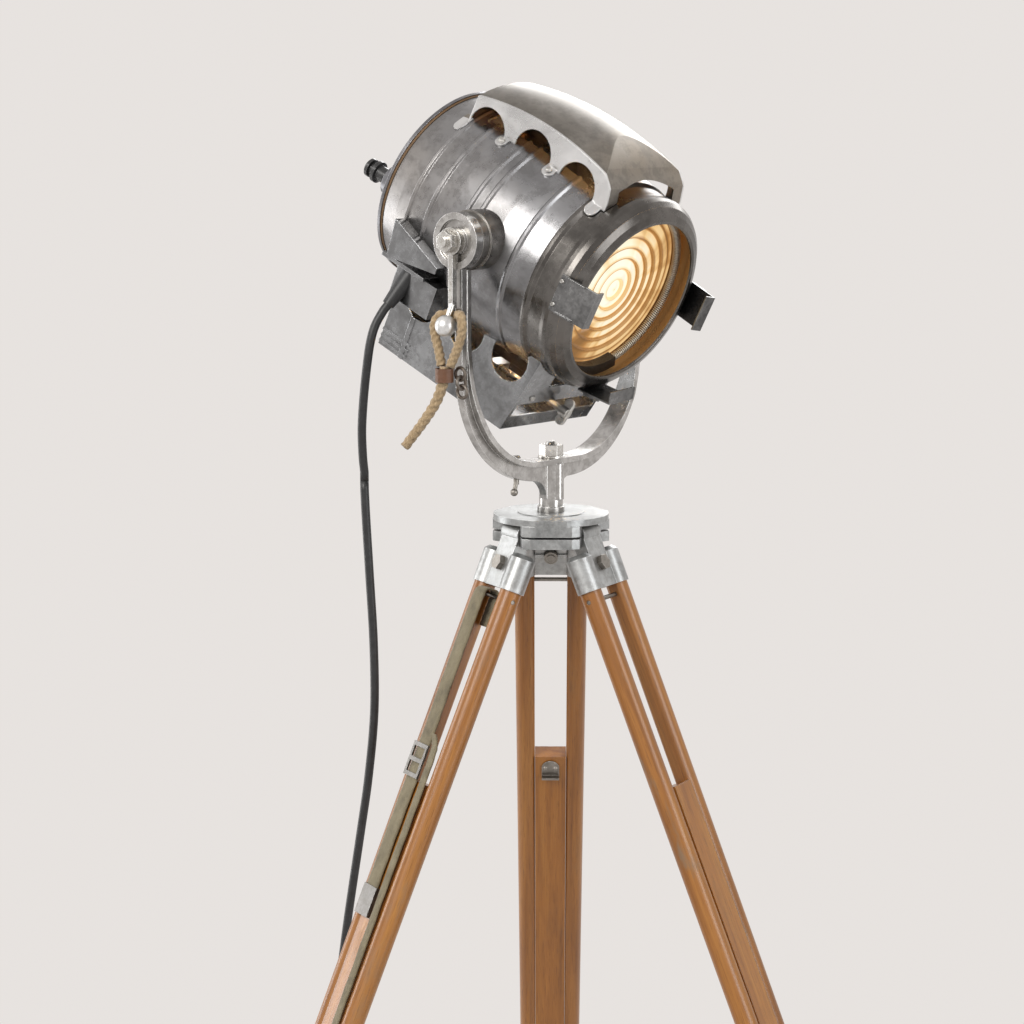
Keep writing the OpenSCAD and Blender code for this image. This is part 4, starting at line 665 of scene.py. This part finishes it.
# Each leg's wear and grain seed, of its poles and of its board
LEG_WEAR = {"right": (0.8, 0.1, 0.35, 3.1), "left": (0.35, 0.7, 0.3, 4.3),
            "rear": (0.3, 1.9, 0.2, 5.7)}
for side, (pole_wear, pole_seed, board_wear, board_seed) in LEG_WEAR.items():
    leg = leg_matrix(side)
    FINISHES["leg_bracket_" + side] = bracket_metal
    FINISHES["leg_poles_" + side] = wood("wood_" + side, leg, *POLE_TONES, pole_wear, pole_seed)
    FINISHES["leg_fittings_" + side] = dull_steel
    FINISHES["leg_screw_" + side] = steel
    FINISHES["board_" + side] = wood("board_" + side, leg, *BOARD_TONES, board_wear, board_seed)
    FINISHES["board_stop_" + side] = dull_steel
    FINISHES["shoe_" + side] = steel


def dress(obj, material):
    obj.data.materials.clear()
    obj.data.materials.append(material)
    for polygon in obj.data.polygons:
        polygon.material_index = 0


for name, obj in NODES.items():
    dress(obj, FINISHES[name])
dress(flex_upper, rubber)
dress(flex_lower, rubber)

# ---------- Rope strop ----------

BALL_X, BALL_DROP, KNOT = 146, 73, 35
BALL = YOKE @ shift(-BALL_X, 0, PIVOT_H - BALL_DROP)
ROPE_SIDES, STRANDS, STRAND_DEPTH = 24, 3, 0.26
loop = [(0, -5, -KNOT), (1, -11, -22), (2, -16, -8), (2, -17, 2), (5, -13, 9), (10, -6, 9),
        (11.9, 0, 7.7), (10, 6, 9), (6, 12, 8), (2, 14.5, 1), (1, 13, -9), (0, 8, -22),
        (-1, 4, -KNOT)]
tail = [(-1, 0, -KNOT - 0.3), (-2, 1, -KNOT - 12), (-4, 7, -KNOT - 30), (-9, 17, -KNOT - 48),
        (-16, 34, -KNOT - 72)]


def laid(pitch):
    """The lay of a rope, as a scale on its radius: one strand's turn takes pitch metres."""
    def profile(angle, along):
        phase = angle - 2 * math.pi * along / pitch
        return 1 - STRAND_DEPTH * (1 - abs(math.cos(STRANDS * phase / 2)))
    return profile


def rope_piece(name, points, steps, radius, pitch):
    path = [at(BALL, *p) for p in smooth_path(points, steps)]
    piece = tube_piece(name, path, radius, ROPE_SIDES, laid(pitch))
    dress(piece, rope)
    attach(piece, "tilt_lever")
    return piece


rope_loop = rope_piece("rope_loop", loop, 10, 4.4 * MM, 0.017)
rope_piece("rope_tail", tail, 14, lambda share: (5.4 - 0.9 * share) * MM, 0.021)
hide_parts("strop_rope")

# ---------- Carrying strap ----------

STRAP_T, BAND_SIDES, BAND_STEPS = 2.0, 10, 8


def ribbon(name, matrix, stations):
    """A woven band with rounded edges. Each station is (x, y, distance down the leg, width)."""
    points = []
    centres = smooth_path([(x, y, -t) for x, y, t, w in stations], BAND_STEPS)
    widths = smooth_path([(w, 0, 0) for x, y, t, w in stations], BAND_STEPS)
    across = Vector((1, 0, 0))
    for i, (centre, tangent) in enumerate(zip(centres, tangents(centres))):
        normal = tangent.cross(across).normalized()
        half = widths[i].x / 2 + 0.25 * math.sin(i * 1.9)
        lift = 0.12 * math.sin(i * 1.3)
        for k in range(BAND_SIDES):
            a = 2 * math.pi * (k + 0.5) / BAND_SIDES
            px = half * max(-1, min(1, 1.25 * math.cos(a)))
            py = STRAP_T / 2 * max(-1, min(1, 1.9 * math.sin(a))) + lift
            points.append(at(matrix, *(centre + px * across + py * normal)))
    piece = mesh_piece(name, points, skin(len(centres), BAND_SIDES))
    dress(piece, canvas)
    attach(piece, "leg_left")
    return piece


LEFT_LEG = leg_matrix("left")
strap_main = ribbon("strap_main", LEFT_LEG, [
    (-6.5, 3.7, 91, 15), (-6.5, 3.7, 74, 15), (-6.5, 3.6, 64, 15), (-6.5, 1.5, 57.4, 15),
    (-6.7, -5, 57, 15), (-7.5, -10.2, 58.2, 17), (-8.6, -11.5, 66, 19.4), (-9.3, -11.4, 100, 20),
    (-8.7, -11.6, 150, 20), (-8.2, -11.5, 196, 20), (-9, -11.4, 240, 20), (-9.4, -11.6, 300, 20),
    (-9, -11.4, 371, 20)])
ribbon("strap_tail", LEFT_LEG, [
    (2.5, -11.5, 198, 7), (7.5, -11.6, 204, 9), (11.6, -11.5, 216, 10), (12.4, -11.7, 260, 10),
    (11.6, -11.5, 330, 10), (12.3, -11.7, 400, 10), (12, -11.4, 481, 10)])
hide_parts("carry_strap")

# ---------- Lens spring ----------

LENS_AT, LENS_T = 77, 5
TAPE_MID, TAPE_HALF, SPRING_SPAN = -96, 12, 336
SPRING_R, SPRING_RING_R, SPRING_CURLS, CURL_STEPS = 3.2, 79.5, 240, 10
CAD_WIRE_R, WIRE_R, SPRING_GAP = 0.75, 0.7, 0.35
SPRING_Z = LENS_AT + LENS_T + SPRING_R + CAD_WIRE_R + SPRING_GAP


def spring_point(share):
    a = math.radians(TAPE_MID + TAPE_HALF + SPRING_SPAN * share)
    w = 2 * math.pi * SPRING_CURLS * share
    r = SPRING_RING_R + SPRING_R * math.cos(w)
    return at(BARREL, r * math.cos(a), r * math.sin(a), SPRING_Z + SPRING_R * math.sin(w))


spring_steps = SPRING_CURLS * CURL_STEPS
garter = tube_piece("garter_spring", [spring_point(i / spring_steps)
                                      for i in range(spring_steps + 1)], WIRE_R * MM, 6)
dress(garter, spring_metal)
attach(garter, "head")
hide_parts("lens_spring")

# ---------- Light inside the housing ----------

lamp_data = bpy.data.lights.new("lamp_light", "POINT")
lamp_data.energy, lamp_data.color, lamp_data.shadow_soft_size = 34.0, (1.0, 0.58, 0.24), 0.02
lamp = bpy.data.objects.new("lamp_light", lamp_data)
lamp.location = at(BARREL, 0, 0, -30)
bpy.context.scene.collection.objects.link(lamp)
lamp.parent = BODIES["head"]

# ---------- Studio ----------

AIM = Vector((0, -0.13, 1.3))


def area_light(name, place, size, power, colour=(1, 1, 1)):
    """A soft light of that size in metres and power in watts, aimed at the lamp."""
    data = bpy.data.lights.new(name, "AREA")
    data.shape, data.size, data.size_y = "RECTANGLE", *size
    data.energy, data.color = power, colour
    light = bpy.data.objects.new(name, data)
    light.location = place
    light.rotation_euler = (AIM - Vector(place)).to_track_quat("-Z", "Y").to_euler()
    bpy.context.scene.collection.objects.link(light)


area_light("key", (-1.7, -2.3, 2.9), (1.6, 1.6), 75, (1.0, 0.98, 0.95))
area_light("fill", (2.3, -1.9, 1.7), (1.2, 2.2), 34, (0.97, 0.985, 1.0))
area_light("rim", (0.9, 2.1, 2.6), (2.2, 1.2), 40)
area_light("left_wall", (-2.4, 0.8, 1.4), (1.0, 2.4), 26)

# The camera, metal and glass see the plain backdrop; matt surfaces are lit by a soft gradient
# from the floor's dark side, through a bright horizon, to a dimmer top.
BACKDROP = (0.80, 0.765, 0.74, 1)
GRADIENT = (0.30, 0.22), (0.60, 0.78), (1.0, 0.42)
GRADIENT_STRENGTH = 0.75

world = bpy.data.worlds.new("studio")
bpy.context.scene.world = world
world.use_nodes = True
tree = world.node_tree
tree.nodes.clear()
out = tree.nodes.new("ShaderNodeOutputWorld")
seen = tree.nodes.new("ShaderNodeBackground")
seen.inputs["Color"].default_value = BACKDROP
lit = tree.nodes.new("ShaderNodeBackground")
lit.inputs["Strength"].default_value = GRADIENT_STRENGTH
coords = tree.nodes.new("ShaderNodeTexCoord")
split = tree.nodes.new("ShaderNodeSeparateXYZ")
height = tree.nodes.new("ShaderNodeMath")
height.operation = "MULTIPLY_ADD"
height.inputs[1].default_value = height.inputs[2].default_value = 0.5
ramp = tree.nodes.new("ShaderNodeValToRGB")
fill_ramp(ramp.color_ramp, [(place, (tone, tone * 0.985, tone * 0.97)) for place, tone in GRADIENT])
tree.links.new(coords.outputs["Generated"], split.inputs[0])
tree.links.new(split.outputs[2], height.inputs[0])
tree.links.new(height.outputs[0], ramp.inputs[0])
tree.links.new(ramp.outputs[0], lit.inputs["Color"])
rays = tree.nodes.new("ShaderNodeLightPath").outputs
sees_backdrop = rays["Is Camera Ray"]
for ray in ("Is Glossy Ray", "Is Transmission Ray"):
    either = tree.nodes.new("ShaderNodeMath")
    either.operation, either.use_clamp = "ADD", True
    tree.links.new(sees_backdrop, either.inputs[0])
    tree.links.new(rays[ray], either.inputs[1])
    sees_backdrop = either.outputs[0]
choose = tree.nodes.new("ShaderNodeMixShader")
tree.links.new(sees_backdrop, choose.inputs[0])
tree.links.new(lit.outputs[0], choose.inputs[1])
tree.links.new(seen.outputs[0], choose.inputs[2])
tree.links.new(choose.outputs[0], out.inputs[0])

# A pale round floor that fades out into the backdrop between these distances
FLOOR_R, FLOOR_SIDES, FADE_START, FADE_END = 2.4, 96, 0.75, 1.0
rim = [2 * math.pi * i / FLOOR_SIDES for i in range(FLOOR_SIDES)]
floor = mesh_piece("floor", [(math.cos(a) * FLOOR_R, math.sin(a) * FLOOR_R, 0) for a in rim],
                   [tuple(range(FLOOR_SIDES))], False)
ground = Finish("floor")
ground.set(colour=(0.62, 0.595, 0.575), rough=0.75)
clear = ground.node("ShaderNodeBsdfTransparent")
fading = ground.node("ShaderNodeMixShader")
fade = ground.ramp(ground.from_axis(), (0.0, 0.0), (FADE_START, 0.0), (FADE_END, 1.0))
ground.link(fade, fading.inputs[0])
ground.link(ground.shader.outputs[0], fading.inputs[1])
ground.link(clear.outputs[0], fading.inputs[2])
ground.link(fading.outputs[0], ground.tree.nodes["Material Output"].inputs["Surface"])
dress(floor, ground.mat)
